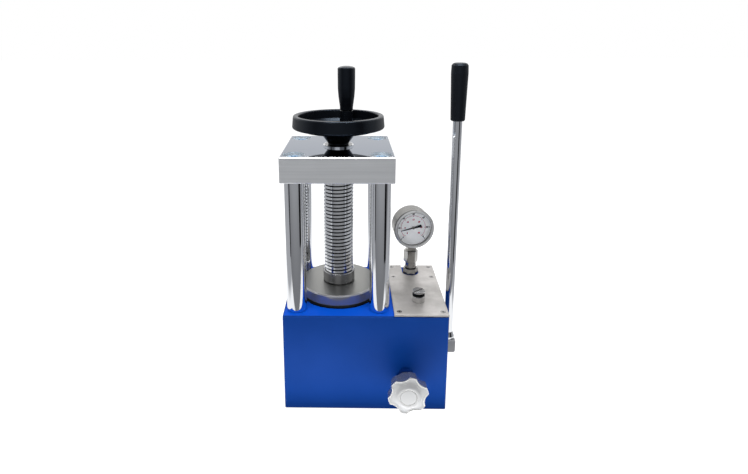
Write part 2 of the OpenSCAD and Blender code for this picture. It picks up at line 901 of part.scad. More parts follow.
module handle_spindle() {
    thread_z = dish_foot + 3.5;
    color("silver")
        translate([handle_x, handle_y, 0]) {
            translate([0, 0, thread_z])
                cylinder(d = handle_pin_d - 1, h = handle_boss_top - thread_z);
            translate([0, 0, handle_boss_top])
                cylinder(d = handle_pin_d, h = pin_head_z - handle_boss_top);
            translate([0, 0, pin_head_z]) bevel_shaft(pin_head_d, pin_head_h, 0.6);
        }
}

module revolving_handle() {
    foot_r = handle_foot_d / 2;
    top_r = handle_top_d / 2;
    pin_r = handle_pin_d / 2 + run_gap;
    pocket_r = pin_head_d / 2 + pass_gap;
    color([0.07, 0.07, 0.08])
        translate([handle_x, handle_y, 0])
            rotate_extrude()
                polygon([
                    [pin_r, handle_foot], [foot_r - 1, handle_foot], [foot_r, handle_foot + 1],
                    [foot_r + 0.3, handle_foot + 0.1 * handle_len],
                    [top_r - 1.2, handle_foot + 0.32 * handle_len],
                    [top_r - 0.2, handle_foot + 0.52 * handle_len],
                    [top_r, handle_foot + 0.84 * handle_len], [top_r, handle_top],
                    [pocket_r, handle_top], [pocket_r, pin_head_z - run_gap],
                    [pin_r, pin_head_z - run_gap]
                ]);
}

// Domed cap that closes the top of the revolving handle
module handle_cap() {
    top_r = handle_top_d / 2;
    plug_r = pin_head_d / 2 + pass_gap - seat_gap;
    color([0.07, 0.07, 0.08])
        translate([handle_x, handle_y, handle_top])
            rotate_extrude()
                polygon(concat(
                    [[0, -4], [plug_r, -4], [plug_r, 0], [top_r, 0]],
                    [for (i = [1:8]) [top_r * cos(90 * i / 8), handle_cap_h * sin(90 * i / 8)]]
                ));
}

// Pump lever and its shaft

module lever_rod() {
    color("gainsboro")
        translate([lever_x, lever_y, 0]) {
            translate([0, 0, socket_z1 - rod_end_len]) cylinder(d = rod_end_d, h = rod_end_len + 1);
            translate([0, 0, socket_z1])
                rotate_extrude()
                    polygon([
                        [0, 0], [rod_foot_d / 2 - 0.5, 0], [rod_foot_d / 2, 0.5],
                        [rod_foot_d / 2, rod_foot_h / 3], [rod_d / 2, rod_foot_h],
                        [rod_d / 2, grip_z - socket_z1 + 4], [rod_neck_d / 2, grip_z - socket_z1 + 4],
                        [rod_neck_d / 2, rod_top - socket_z1], [0, rod_top - socket_z1]
                    ]);
        }
}

module lever_grip() {
    foot_r = grip_foot_d / 2;
    top_r = grip_top_d / 2;
    socket_r = rod_neck_d / 2 + seat_gap;
    mouth_r = rod_d / 2 + seat_gap;
    end = grip_z + grip_len;
    color([0.08, 0.08, 0.08])
        translate([lever_x, lever_y, 0])
            rotate_extrude()
                polygon([
                    [mouth_r, grip_z], [foot_r - 1.2, grip_z], [foot_r, grip_z + 1.2],
                    [top_r - 0.5, end - 0.375 * grip_len], [top_r, end - 0.175 * grip_len],
                    [top_r - 0.4, end - 3.5],
                    [top_r - 2.2, end - 1], [top_r - 5, end], [0, end],
                    [0, rod_top + 0.5], [socket_r, rod_top + 0.5],
                    [socket_r, grip_z + 4 + seat_gap], [mouth_r, grip_z + 4 + seat_gap]
                ]);
}

// Block on the shaft's end that takes the lever, with rounded lower edges
module lever_socket() {
    half = socket_depth / 2;
    round_r = 4;
    color("darkgray")
        difference() {
            intersection() {
                bevel_block(
                    [socket_x0, lever_y - half, socket_z0],
                    [socket_x1, lever_y + half, socket_z1],
                    0.8
                );
                along_front([0, lever_y + half, 0])
                    linear_extrude(socket_depth)
                        union() {
                            translate([socket_x0, socket_z0 + round_r])
                                square([socket_w, socket_h - round_r]);
                            translate([socket_x0, socket_z0])
                                square([socket_w - round_r, socket_h]);
                            translate([socket_x1 - round_r, socket_z0 + round_r]) circle(r = round_r);
                        }
            }
            along_x([socket_x0 - over, lever_y, lever_z])
                cylinder(d = shaft_end_d + 2 * seat_gap, h = socket_w - 3 + over);
            translate([lever_x, lever_y, lever_z])
                cylinder(d = rod_end_d + 2 * seat_gap, h = socket_top + over);
            along_front([lever_x, lever_y + half + over, lever_z])
                cylinder(d = grub_d + 2 * seat_gap, h = half + over);
        }
}

module socket_grub_screw() {
    tip = lever_y + shaft_end_d / 2 + seat_gap;
    color("dimgray")
        translate([lever_x, tip, lever_z])
            rotate([-90, 0, 0])
                grub_screw(grub_d, lever_y + socket_depth / 2 - tip - 0.5, grub_d / 2);
}

module rocker_shaft() {
    color("silver")
        along_x([crank_x0, lever_y, lever_z]) {
            cylinder(d = shaft_d, h = flange_face - crank_x0);
            translate([0, 0, flange_face - crank_x0])
                cylinder(d = shaft_end_d, h = pass_gap + socket_w - 3.5);
        }
}

module shaft_bush() {
    color("goldenrod")
        along_x([tank_right, lever_y, lever_z])
            difference() {
                union() {
                    cylinder(d = bush_d, h = tank_right_wall + 1);
                    translate([0, 0, tank_right_wall]) bevel_shaft(bush_flange_d, bush_flange_t, 0.6);
                }
                translate([0, 0, -over])
                    cylinder(d = shaft_d + 2 * run_gap, h = tank_right_wall + bush_flange_t + 2 * over);
                translate([0, 0, tank_right_wall / 2])
                    cylinder(d = shaft_d + 3, h = 3);
            }
}

module shaft_seal() {
    color([0.1, 0.1, 0.1])
        along_x([tank_right + tank_right_wall / 2 + seat_gap, lever_y, lever_z])
            ring(shaft_d + 3 - 2 * seat_gap, shaft_d + 2 * run_gap, 3 - 2 * seat_gap);
}

module crank_arm() {
    boss_d = shaft_d + 8;
    eye_d = crank_pin_d + 6;
    color("darkgray")
        along_x([crank_x0, lever_y, lever_z])
            difference() {
                union() {
                    cylinder(d = boss_d, h = crank_t);
                    translate([0, -crank_r, 0]) cylinder(d = eye_d, h = crank_t);
                    translate([-eye_d / 2, -crank_r, 0]) cube([eye_d, crank_r, crank_t]);
                }
                translate([0, 0, -over]) cylinder(d = shaft_d + 2 * seat_gap, h = crank_t + 2 * over);
                translate([0, -crank_r, -over])
                    cylinder(d = crank_pin_d - 2 + 2 * seat_gap, h = crank_t + 2 * over);
            }
}

module crank_pin() {
    color("silver")
        along_x([yoke_x1 - yoke_w + 1, plunger_y, lever_z]) {
            bevel_shaft(crank_pin_d, crank_x0 - yoke_x1 + yoke_w - 1, 0.5);
            cylinder(d = crank_pin_d - 2, h = crank_x1 - yoke_x1 + yoke_w - 1);
        }
}

// Pump in the tank

module pump_block() {
    spigot_r = plunger_seal_d / 2 + seat_gap;
    color("darkgray")
        difference() {
            bevel_block([pump_x0, pump_y0, tank_floor], [pump_x1, pump_y1, pump_top], 0.6);
            translate([pump_x, plunger_y, chamber_z])
                cylinder(d = plunger_d + 2, h = pump_h);
            translate([pump_x, plunger_y, pump_top - gland_spigot - plunger_seal_h])
                cylinder(r = spigot_r, h = pump_h);
            translate([pump_x, valve_bore_y, suction_seat_z - 3]) cylinder(d = seat_d, h = pump_h);
            translate([pump_x, valve_bore_y, suction_seat_z])
                cylinder(d = ball_chamber_d, h = suction_top - suction_seat_z);
            translate([pump_x, valve_bore_y, delivery_seat_z])
                cylinder(d = ball_chamber_d, h = pump_h);
            // inlet from the tank, way to the plunger, outlet to the gallery
            along_x([pump_x, valve_bore_y, suction_seat_z - 1.6])
                cylinder(d = inlet_d, h = pump_w);
            along_front([pump_x, plunger_y, suction_top - 2])
                cylinder(d = inlet_d, h = valve_bore_offset);
            along_x([pump_x0 - over, valve_bore_y, delivery_seat_z + ball_sit])
                cylinder(d = oilway_d, h = pump_w / 2 + over);
        }
}

// Plunger with a slotted head that the crank pin slides in
module pump_plunger() {
    slot_h = crank_pin_d + 2 * slot_gap;
    slot_back = crank_r * (1 - cos(lever_swing)) + 1;
    color("silver")
        difference() {
            union() {
                translate([pump_x, plunger_y, plunger_foot])
                    bevel_shaft(plunger_d, lever_z - plunger_foot, 0.6);
                bevel_block(
                    [pump_x - yoke_w / 2, plunger_y - yoke_front, lever_z - yoke_h / 2],
                    [pump_x + yoke_w / 2, plunger_y + yoke_rear, lever_z + yoke_h / 2],
                    0.6
                );
            }
            along_x([pump_x - yoke_w, plunger_y, lever_z]) {
                translate([0, -1, 0]) cylinder(d = slot_h, h = 2 * yoke_w);
                translate([0, slot_back, 0]) cylinder(d = slot_h, h = 2 * yoke_w);
                translate([-slot_h / 2, -1, 0]) cube([slot_h, slot_back + 1, 2 * yoke_w]);
            }
        }
}

module plunger_seal() {
    color([0.1, 0.1, 0.1])
        translate([pump_x, plunger_y, pump_top - gland_spigot - plunger_seal_h])
            ring(plunger_seal_d, plunger_d + 2 * run_gap, plunger_seal_h);
}

module plunger_gland() {
    color("goldenrod")
        translate([pump_x, plunger_y, pump_top])
            difference() {
                union() {
                    translate([0, 0, -gland_spigot]) cylinder(d = plunger_seal_d, h = gland_spigot + 1);
                    hex_prism(plunger_seal_d + 2, gland_flange_t);
                }
                translate([0, 0, -gland_spigot - over])
                    cylinder(d = plunger_d + 2 * run_gap, h = gland_spigot + gland_flange_t + 2 * over);
            }
}

module valve_seat_ball(seat_z) {
    color("silver")
        translate([pump_x, valve_bore_y, seat_z + ball_sit]) sphere(d = ball_d);
}

module suction_ball() {
    valve_seat_ball(suction_seat_z);
}

module delivery_ball() {
    valve_seat_ball(delivery_seat_z);
}

// Wound spring: one tube of six sides, eight rings a turn
function coil_point(i, rings) =
    let (t = i / rings, a = 360 * spring_turns * t)
    [spring_d / 2 * cos(a), spring_d / 2 * sin(a), spring_z0 + (spring_z1 - spring_z0) * t];

function coil_ring(i, rings) =
    let (a = 360 * spring_turns * i / rings, p = coil_point(i, rings))
    [for (k = [0:5])
        p + spring_wire / 2 * (cos(60 * k) * [cos(a), sin(a), 0] + sin(60 * k) * [0, 0, 1])];

module delivery_spring() {
    rings = spring_turns * 8;
    points = [for (i = [0:rings]) each coil_ring(i, rings)];
    sides = [for (i = [0:rings - 1], k = [0:5])
        let (a = 6 * i + k, b = 6 * i + (k + 1) % 6)
        each [[a, b, a + 6], [b, b + 6, a + 6]]];
    ends = [for (k = [1:4]) each [[0, k + 1, k], [6 * rings, 6 * rings + k, 6 * rings + k + 1]]];
    color("silver")
        translate([pump_x, valve_bore_y, 0])
            polyhedron(points, [for (f = concat(sides, ends)) [f[0], f[2], f[1]]]);
}

module delivery_plug() {
    color("darkgray")
        translate([pump_x, valve_bore_y, delivery_plug_z]) {
            cylinder(d = ball_chamber_d - 2 * seat_gap, h = pump_top - delivery_plug_z + 1);
            translate([0, 0, pump_top - delivery_plug_z]) hex_prism(ball_chamber_d + 3, 5);
        }
}

// Release valve

module valve_ball() {
    color("silver")
        translate([valve_x, valve_ball_y, valve_z]) sphere(d = ball_d);
}

module valve_spindle() {
    color("silver")
        along_front([valve_x, spindle_tip, valve_z])
            bevel_shaft(spindle_d, spindle_tip - spindle_end, 0.6);
}

module valve_gland() {
    color("royalblue")
        along_front([valve_x, base_front, valve_z])
            difference() {
                union() {
                    translate([0, 0, -gland_spigot_len])
                        cylinder(d = gland_spigot_d, h = gland_spigot_len + 1);
                    hex_prism(gland_af, gland_h);
                }
                translate([0, 0, -gland_spigot_len - over])
                    cylinder(d = spindle_d + 2 * run_gap, h = gland_spigot_len + gland_h + 2 * over);
            }
}

// Outline of the knob: a round that swells into lobes
module knob_outline(shrink) {
    mean = knob_d / 2 - knob_hollow / 2 - shrink;
    swell = knob_hollow / 2;
    steps = knob_lobes * 16;
    polygon([for (i = [0:steps - 1])
        let (a = 360 * i / steps, r = mean + swell * cos(knob_lobes * (a - knob_turn)))
        [r * cos(a), r * sin(a)]]);
}

module release_knob() {
    dish_r = knob_d / 2 - knob_hollow - 2;
    cap_r = knob_cap_d / 2 + seat_gap;
    edge = 1.5;
    color("gainsboro")
        along_front([valve_x, knob_back, valve_z])
            difference() {
                union() {
                    linear_extrude(edge) knob_outline(edge);
                    translate([0, 0, edge]) linear_extrude(knob_t - 2 * edge) knob_outline(0);
                    translate([0, 0, knob_t - edge]) linear_extrude(edge) knob_outline(edge);
                    translate([0, 0, -knob_hub_len]) cylinder(d = knob_hub_d, h = knob_hub_len + 1);
                }
                translate([0, 0, knob_t - knob_dish])
                    cylinder(r1 = cap_r, r2 = dish_r, h = knob_dish + 0.01);
                translate([0, 0, knob_t - knob_dish - knob_cap_t])
                    cylinder(r = cap_r, h = knob_t);
                translate([0, 0, -knob_hub_len - over])
                    cylinder(d = spindle_d + 2 * seat_gap, h = knob_t + knob_hub_len);
            }
}

module knob_cap() {
    rise = 1.6;
    color("whitesmoke")
        along_front([valve_x, knob_face + knob_dish + knob_cap_t, valve_z])
            bevel_shaft(knob_cap_d, knob_cap_t + knob_dish - rise, 0.8);
}

// Gauge: local Z runs from the back of the case to the front

module gauge_frame() {
    translate([gauge_x, gauge_y, gauge_z])
        rotate([0, 0, gauge_turn])
            along_front([0, stem_inset, 0]) children();
}

module gauge_case() {
    r = case_d / 2;
    depth = case_depth - 2;
    stem_half = stem_w / 2 + pass_gap;
    color("silver")
        gauge_frame()
            difference() {
                rotate_extrude()
                    polygon([
                        [0, 0], [r - 4, 0], [r - 1.2, 1.2], [r, 4], [r, depth],
                        [r - case_t, depth], [r - case_t, 4.5], [r - 4.5, case_t], [0, case_t]
                    ]);
                translate([-stem_half, -case_d, stem_inset - stem_half])
                    cube([2 * stem_half, case_d - tube_r, 2 * stem_half]);
            }
}

module gauge_bezel() {
    r = bezel_d / 2;
    fit_r = case_d / 2 + seat_gap;
    window_r = bezel_window / 2;
    back = case_depth - bezel_h;
    glass_top = glass_at + glass_t;
    color("gainsboro")
        gauge_frame()
            rotate_extrude()
                polygon([
                    [fit_r, back], [r - 0.8, back], [r, back + 1], [r, case_depth - 3],
                    [r - 0.9, case_depth - 0.9], [r - 2.8, case_depth], [window_r + 1, case_depth],
                    [window_r, case_depth - 0.8], [window_r, glass_top], [fit_r, glass_top]
                ]);
}

module gauge_glass() {
    color([0.85, 0.9, 0.92, 0.35])
        gauge_frame()
            translate([0, 0, glass_at]) cylinder(d = case_d - 2 * case_t - 2 * seat_gap, h = glass_t);
}

module gauge_dial() {
    color("white")
        gauge_frame()
            translate([0, 0, dial_at])
                ring(case_d - 2 * case_t - 2 * seat_gap, arbor_d + 2 * pass_gap, dial_t);
}

// Tapered needle, counterweight and hub on its arbor
module gauge_pointer() {
    hub_d = 7;
    color([0.05, 0.05, 0.05])
        gauge_frame()
            rotate([0, 0, pointer_angle]) {
                translate([0, 0, pointer_at]) {
                    linear_extrude(pointer_t)
                        polygon([
                            [0, -1.3], [pointer_len - 1, -0.35], [pointer_len, 0],
                            [pointer_len - 1, 0.35], [0, 1.3]
                        ]);
                    linear_extrude(pointer_t)
                        polygon([[0, -1.3], [-tail_len, -2.2], [-tail_len, 2.2], [0, 1.3]]);
                    cylinder(d = hub_d, h = pointer_t + 0.6);
                }
                translate([0, 0, movement_back + 0.2])
                    cylinder(d = arbor_d, h = pointer_at - movement_back);
            }
}

// Two plates and posts that carry the arbor behind the dial
module gauge_movement() {
    plate_t = 1.4;
    half_w = 8;
    high = 10;
    color("goldenrod")
        gauge_frame()
            difference() {
                union() {
                    for (z = [movement_back, movement_front - plate_t])
                        translate([-half_w, -socket_drop, z]) cube([2 * half_w, high + socket_drop, plate_t]);
                    for (x = [-5, 5])
                        translate([x, high - 3, movement_back])
                            cylinder(d = 3, h = movement_front - movement_back);
                    translate([-half_w, -socket_drop, movement_back])
                        cube([2 * half_w, 2, movement_front - movement_back]);
                }
                translate([0, 0, movement_back - over])
                    cylinder(d = arbor_d + 2 * run_gap, h = movement_front - movement_back + 2 * over);
            }
}

module bourdon_tube() {
    color("goldenrod")
        gauge_frame()
            translate([0, 0, stem_inset])
                rotate([0, 0, tube_start])
                    rotate_extrude(angle = tube_sweep)
                        translate([tube_r - tube_t / 2, -tube_w / 2]) square([tube_t, tube_w]);
}

// Socket: a block in the case that holds tube and movement, and the square stem
module gauge_socket() {
    half = stem_w / 2;
    color("silver")
        difference() {
            union() {
                gauge_frame()
                    translate([-half, -case_d / 2 - (case_foot - union_top), stem_inset - half])
                        cube([stem_w, case_d / 2 + case_foot - union_top - socket_drop, stem_w]);
                translate([gauge_x, gauge_y, stem_foot + 2])
                    cylinder(d = stem_w - 1, h = union_top - stem_foot);
            }
            gauge_frame()
                translate([0, 0, stem_inset])
                    rotate([0, 0, tube_start + tube_sweep])
                        rotate_extrude(angle = 360 - tube_sweep)
                            translate([tube_r - tube_t / 2 - seat_gap, -tube_w / 2 - seat_gap])
                                square([tube_t + 2 * seat_gap, tube_w + 2 * seat_gap]);
            translate([gauge_x, gauge_y, stem_foot])
                cylinder(d = stem_bore_d, h = gauge_z - tube_r - stem_foot);
        }
}

module union_nut() {
    color("silver")
        translate([gauge_x, gauge_y, union_z])
            difference() {
                hex_prism(union_af, union_h);
                translate([0, 0, -over])
                    cylinder(d = stem_w - 1 + 2 * seat_gap, h = union_h + 2 * over);
            }
}

// Adapter: thread in the base, hexagon, seal groove and neck
module gauge_adapter() {
    thread_len = 16;
    seal_z = adapter_hex_h;
    color("silver")
        translate([gauge_x, gauge_y, base_height])
            difference() {
                union() {
                    translate([0, 0, -thread_len]) cylinder(d = port_d, h = thread_len + 1);
                    hex_prism(adapter_af, adapter_hex_h);
                    cylinder(d = adapter_d - 2, h = adapter_hex_h + adapter_neck - 1);
                    translate([0, 0, seal_z + adapter_seal_t])
                        cylinder(d = adapter_d, h = adapter_neck - adapter_seal_t);
                }
                translate([0, 0, -thread_len - over])
                    cylinder(d = stem_bore_d, h = thread_len + adapter_hex_h + adapter_neck + 2 * over);
            }
}

module adapter_seal() {
    color([0.06, 0.06, 0.06])
        translate([gauge_x, gauge_y, base_height + adapter_hex_h])
            ring(adapter_d + 0.6, adapter_d - 2 + 2 * seat_gap, adapter_seal_t);
}

// Oil filler

module filler_bush() {
    color("silver")
        translate([filler_x, filler_y, 0])
            difference() {
                union() {
                    translate([0, 0, cover_top]) bevel_shaft(filler_d, filler_h, 0.5);
                    translate([0, 0, cover_top - filler_spigot_len])
                        cylinder(d = filler_spigot_d, h = filler_spigot_len + 1);
                }
                cylinder(d = plug_shank_d + 2 * run_gap, h = filler_top + over);
            }
}

module filler_plug() {
    shank_z = plug_seal_top - plug_seal_t - plug_shank_len;
    color("silver")
        translate([filler_x, filler_y, 0])
            difference() {
                union() {
                    translate([0, 0, shank_z]) bevel_shaft(plug_shank_d, plug_seal_top - shank_z + 1, 0.8);
                    translate([0, 0, plug_seal_top]) bevel_shaft(plug_head_d, plug_head_h, 0.6);
                }
                translate([0, 0, plug_top - slot_depth])
                    rotate([0, 0, slot_turn])
                        translate([-plug_head_d, -slot_w / 2, 0])
                            cube([2 * plug_head_d, slot_w, slot_depth + over]);
            }
}

module filler_seal() {
    color([0.05, 0.05, 0.05])
        translate([filler_x, filler_y, filler_top])
            ring(plug_head_d - 1.4, plug_shank_d + 2 * run_gap, plug_seal_t);
}

base_housing();
tank_cover();
cover_screws();
column_front_left();
column_front_right();
column_rear_left();
column_rear_right();
top_plate();
column_screws();
wiper_ring();
ram();
ram_seal();
lead_screw();
pressure_pad();
thrust_ball();
pad_grub_screw();
handwheel();
wheel_washer();
wheel_nut();
handle_spindle();
revolving_handle();
handle_cap();
lever_rod();
lever_grip();
lever_socket();
socket_grub_screw();
rocker_shaft();
shaft_bush();
shaft_seal();
crank_arm();
crank_pin();
pump_block();
pump_plunger();
plunger_seal();
plunger_gland();
suction_ball();
delivery_ball();
delivery_spring();
delivery_plug();
valve_ball();
valve_spindle();
valve_gland();
release_knob();
knob_cap();
gauge_case();
gauge_bezel();
gauge_glass();
gauge_dial();
gauge_pointer();
gauge_movement();
bourdon_tube();
gauge_socket();
union_nut();
gauge_adapter();
adapter_seal();
filler_bush();
filler_plug();
filler_seal();
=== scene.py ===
# %% [markdown]
# # A table-top hydraulic press
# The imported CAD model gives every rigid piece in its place, in metres: the press axis is Z, the lever
# is at +X and the front is at -Y. This script dresses that frame. It gives each piece a finish, cuts
# the thread of the lead screw, shapes the star knob, prints the gauge's dial and sets the studio.

import json
import math

import bpy
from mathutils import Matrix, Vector


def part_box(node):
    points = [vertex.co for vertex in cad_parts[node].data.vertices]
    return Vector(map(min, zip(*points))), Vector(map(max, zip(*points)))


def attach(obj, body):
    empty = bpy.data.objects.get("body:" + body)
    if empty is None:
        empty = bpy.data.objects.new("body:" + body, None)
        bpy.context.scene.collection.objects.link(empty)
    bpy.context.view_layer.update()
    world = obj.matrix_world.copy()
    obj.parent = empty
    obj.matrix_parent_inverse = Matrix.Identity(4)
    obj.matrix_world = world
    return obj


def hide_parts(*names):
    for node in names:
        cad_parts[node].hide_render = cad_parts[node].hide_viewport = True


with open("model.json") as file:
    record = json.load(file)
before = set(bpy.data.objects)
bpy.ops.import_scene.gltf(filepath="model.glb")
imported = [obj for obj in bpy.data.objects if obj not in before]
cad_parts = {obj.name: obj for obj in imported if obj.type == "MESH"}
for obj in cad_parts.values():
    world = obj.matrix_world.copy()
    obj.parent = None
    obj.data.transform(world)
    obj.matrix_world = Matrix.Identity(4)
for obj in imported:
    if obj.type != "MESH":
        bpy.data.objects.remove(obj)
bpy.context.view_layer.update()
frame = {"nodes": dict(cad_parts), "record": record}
nodes = frame["nodes"]
scene = bpy.context.scene
MM = 0.001
print("pieces in the frame:", len(nodes))

# %% [markdown]
# ## Smooth where it is round
# The pieces come as meshes of flat facets. A turned or chromed piece shows every facet in its
# reflections, so each face is shaded smooth and an edge stays sharp only where two faces meet at a
# clear angle. This touches the shading alone: no point of the frame moves.

# %% Shade the pieces
SHARP_ANGLE = math.radians(28)


def shade(mesh, angle=SHARP_ANGLE):
    mesh.shade_smooth()
    mesh.set_sharp_from_angle(angle=angle)


for piece in nodes.values():
    shade(piece.data)
print("shaded:", len(nodes))

# %% [markdown]
# ## Tools for materials
# Each finish is one Principled shader with textures in front of it. A socket of a node takes a number,
# a colour or the output of another node, and put() tells them apart. With it a node and its links are
# made in one line, so that a material below reads from its colour to its bump.

# %% Node helpers


def new_material(name):
    material = bpy.data.materials.new(name)
    material.use_nodes = True
    tree = material.node_tree
    return material, tree, tree.nodes["Principled BSDF"]


def put(tree, socket, value):
    """Give a socket the output of another node, a colour of three numbers or a number."""
    if isinstance(value, bpy.types.NodeSocket):
        tree.links.new(value, socket)
    elif isinstance(value, tuple):
        socket.default_value = (*value, 1.0)
    else:
        socket.default_value = value


def feed(tree, node, **values):
    """Values whose names are sockets go to the sockets, the others to the node itself."""
    for key, value in values.items():
        label = key.replace("_", " ")
        if label in node.inputs:
            put(tree, node.inputs[label], value)
        else:
            setattr(node, key, value)


def add(tree, kind, **values):
    made = tree.nodes.new(kind)
    feed(tree, made, **values)
    return made


print("node helpers ready")

# %% [markdown]
# ## Tools for values
# Masks and tints are worked out from the place or the direction of a point on the surface. Four small
# steps do for all of them: arithmetic, a run from one value to another, a mix of two colours, and the
# coordinates themselves. Nothing is unwrapped, so a finish looks the same from every side.

# %% Value helpers
MIX_FIRST, MIX_SECOND, MIX_RESULT = 6, 7, 2  # the Mix node's sockets for colours; their names repeat


def calc(tree, operation, *values, clamp=False):
    made = add(tree, "ShaderNodeMath", operation=operation, use_clamp=clamp)
    for socket, value in zip(made.inputs, values):
        put(tree, socket, value)
    return made.outputs[0]


def ramp(tree, value, start, end, low=0.0, high=1.0):
    """Runs from low to high while the value runs from start to end, and stays there outside."""
    made = add(
        tree, "ShaderNodeMapRange", Value=value, From_Min=start, From_Max=end, To_Min=low, To_Max=high
    )
    return made.outputs["Result"]


def blend(tree, mask, first, second):
    """The colour first where the mask is nought, second where it is one."""
    made = add(tree, "ShaderNodeMix", data_type="RGBA", Factor=mask)
    put(tree, made.inputs[MIX_FIRST], first)
    put(tree, made.inputs[MIX_SECOND], second)
    return made.outputs[MIX_RESULT]


def coordinates(tree, space="Object"):
    """X, Y and Z of the point on the surface, of its normal or, in a world, of the view's direction."""
    at = add(tree, "ShaderNodeTexCoord")
    return add(tree, "ShaderNodeSeparateXYZ", Vector=at.outputs[space]).outputs


def distance(tree, x, y):
    """How far a point is from an axis, by its two coordinates across it."""
    squares = calc(tree, "ADD", calc(tree, "MULTIPLY", x, x), calc(tree, "MULTIPLY", y, y))
    return calc(tree, "SQRT", squares)


print("value helpers ready")

# %% [markdown]
# ## Tools for shared effects
# An effect that several finishes use is a node group: built once, then placed in each material with its
# own values. A change to the group then changes every finish that uses it.

# %% Group helpers


def new_group(name, inputs, outputs):
    """An empty shader node group: inputs as names with defaults, outputs as names."""
    group = bpy.data.node_groups.new(name, "ShaderNodeTree")
    for label, default in inputs.items():
        socket = group.interface.new_socket(label, in_out="INPUT", socket_type="NodeSocketFloat")
        socket.default_value = default
    for label in outputs:
        group.interface.new_socket(label, in_out="OUTPUT", socket_type="NodeSocketFloat")
    return group, group.nodes.new("NodeGroupInput").outputs, group.nodes.new("NodeGroupOutput")


def place(tree, group, **values):
    """A shared effect in a material, with its own values; gives the group's outputs."""
    return add(tree, "ShaderNodeGroup", node_tree=group, **values).outputs


print("group helpers ready")

# %% [markdown]
# ## Smudge
# No real surface is equally shiny all over: handling leaves soft clouds. A broad noise, run between two
# roughness values, gives that. It could be painted, but a noise in the piece's own coordinates needs no
# unwrapping and looks the same from every side.

# %% Shared effect: smudge
smudge, given, result = new_group(
    "Smudge", {"Scale": 30.0, "Low": 0.2, "High": 0.35}, ["Roughness", "Cloud"]
)
at = add(smudge, "ShaderNodeTexCoord")
noise = add(smudge, "ShaderNodeTexNoise", Scale=given["Scale"], Detail=4.0, Roughness=0.6)
feed(smudge, noise, Vector=at.outputs["Object"])
cloud = ramp(smudge, noise.outputs["Fac"], start=0.32, end=0.68)
shine = ramp(smudge, cloud, 0.0, 1.0, low=given["Low"], high=given["High"])
feed(smudge, result, Roughness=shine, Cloud=cloud)
print("group:", smudge.name)

# %% [markdown]
# ## Turning lines
# A lathe leaves fine rings: round the axis on a flat end, stacked along the axis on a side. A noise of
# one dimension, read by the distance from the axis and by the height, makes both. An anisotropic shader
# would streak the light too, but it shows no single lines. The axis is given by two inputs, because many
# pieces do not stand on the press axis.

# %% Shared effect: turning lines
turning, given, result = new_group(
    "Turning Lines", {"Axis X": 0.0, "Axis Y": 0.0, "Rings": 2500.0, "Stacks": 2500.0}, ["Lines"]
)
spot = coordinates(turning)
x = calc(turning, "SUBTRACT", spot["X"], given["Axis X"])
y = calc(turning, "SUBTRACT", spot["Y"], given["Axis Y"])
rings = calc(turning, "MULTIPLY", distance(turning, x, y), given["Rings"])
stacks = calc(turning, "MULTIPLY", spot["Z"], given["Stacks"])
noise = add(turning, "ShaderNodeTexNoise", noise_dimensions="1D", Scale=1.0, Detail=3.0)
feed(turning, noise, W=calc(turning, "ADD", rings, stacks))
feed(turning, result, Lines=noise.outputs["Fac"])
print("group:", turning.name)

# %% [markdown]
# ## Brushed grain
# Sheet and plate are ground along one way, which leaves long fine scratches. A picture of scratches
# would have to be unwrapped and would repeat. A noise in coordinates stretched along one axis does not;
# the three inputs say how finely it varies along each axis.

# %% Shared effect: brushed grain
grain, given, result = new_group(
    "Brushed Grain", {"Along X": 40.0, "Along Y": 2500.0, "Along Z": 2500.0}, ["Scratches"]
)
spot = coordinates(grain)
stretched = add(grain, "ShaderNodeCombineXYZ")
for letter in "XYZ":
    put(grain, stretched.inputs[letter], calc(grain, "MULTIPLY", spot[letter], given["Along " + letter]))
noise = add(grain, "ShaderNodeTexNoise", Scale=1.0, Detail=3.0, Roughness=0.65)
feed(grain, noise, Vector=stretched.outputs["Vector"])
feed(grain, result, Scratches=noise.outputs["Fac"])
print("group:", grain.name)

# %% [markdown]
# ## Edge mask
# Paint thins, plastic polishes and steel brightens along edges. Edges could be painted in by hand, but
# the Bevel node finds them: it gives the normal that a rounded edge would have, and where that departs
# from the true normal, an edge is near. The mask is one there and nought on flat ground.

# %% Shared effect: edge mask
edges, given, result = new_group("Edge Mask", {"Radius": 0.8 * MM, "Gain": 4.0}, ["Edge"])
rounded = add(edges, "ShaderNodeBevel", samples=6, Radius=given["Radius"])
surface = add(edges, "ShaderNodeNewGeometry")
alike = add(edges, "ShaderNodeVectorMath", operation="DOT_PRODUCT")
put(edges, alike.inputs[0], rounded.outputs["Normal"])
put(edges, alike.inputs[1], surface.outputs["Normal"])
departs = calc(edges, "SUBTRACT", 1.0, alike.outputs["Value"])
feed(edges, result, Edge=calc(edges, "MULTIPLY", departs, given["Gain"], clamp=True))
print("group:", edges.name)

# %% [markdown]
# ## Fine stipple
# Sprayed paint has orange peel and moulded plastic a matt skin. Both are a fine even noise that only
# bends the light. To raise real points so finely would need far too many of them, so the group gives a
# height for a Bump node instead.

# %% Shared effect: fine stipple
stipple, given, result = new_group("Fine Stipple", {"Scale": 900.0}, ["Height"])
at = add(stipple, "ShaderNodeTexCoord")
noise = add(stipple, "ShaderNodeTexNoise", Scale=given["Scale"], Detail=2.0, Roughness=0.5)
feed(stipple, noise, Vector=at.outputs["Object"])
feed(stipple, result, Height=noise.outputs["Fac"])
print("group:", stipple.name)

# %% [markdown]
# ## Facing up
# Several pieces look different on top than at the sides. Two materials on one mesh would do, but every
# face would have to be picked for one of them. Instead one mask, the upward part of the normal, switches
# between two values that each material gives it.

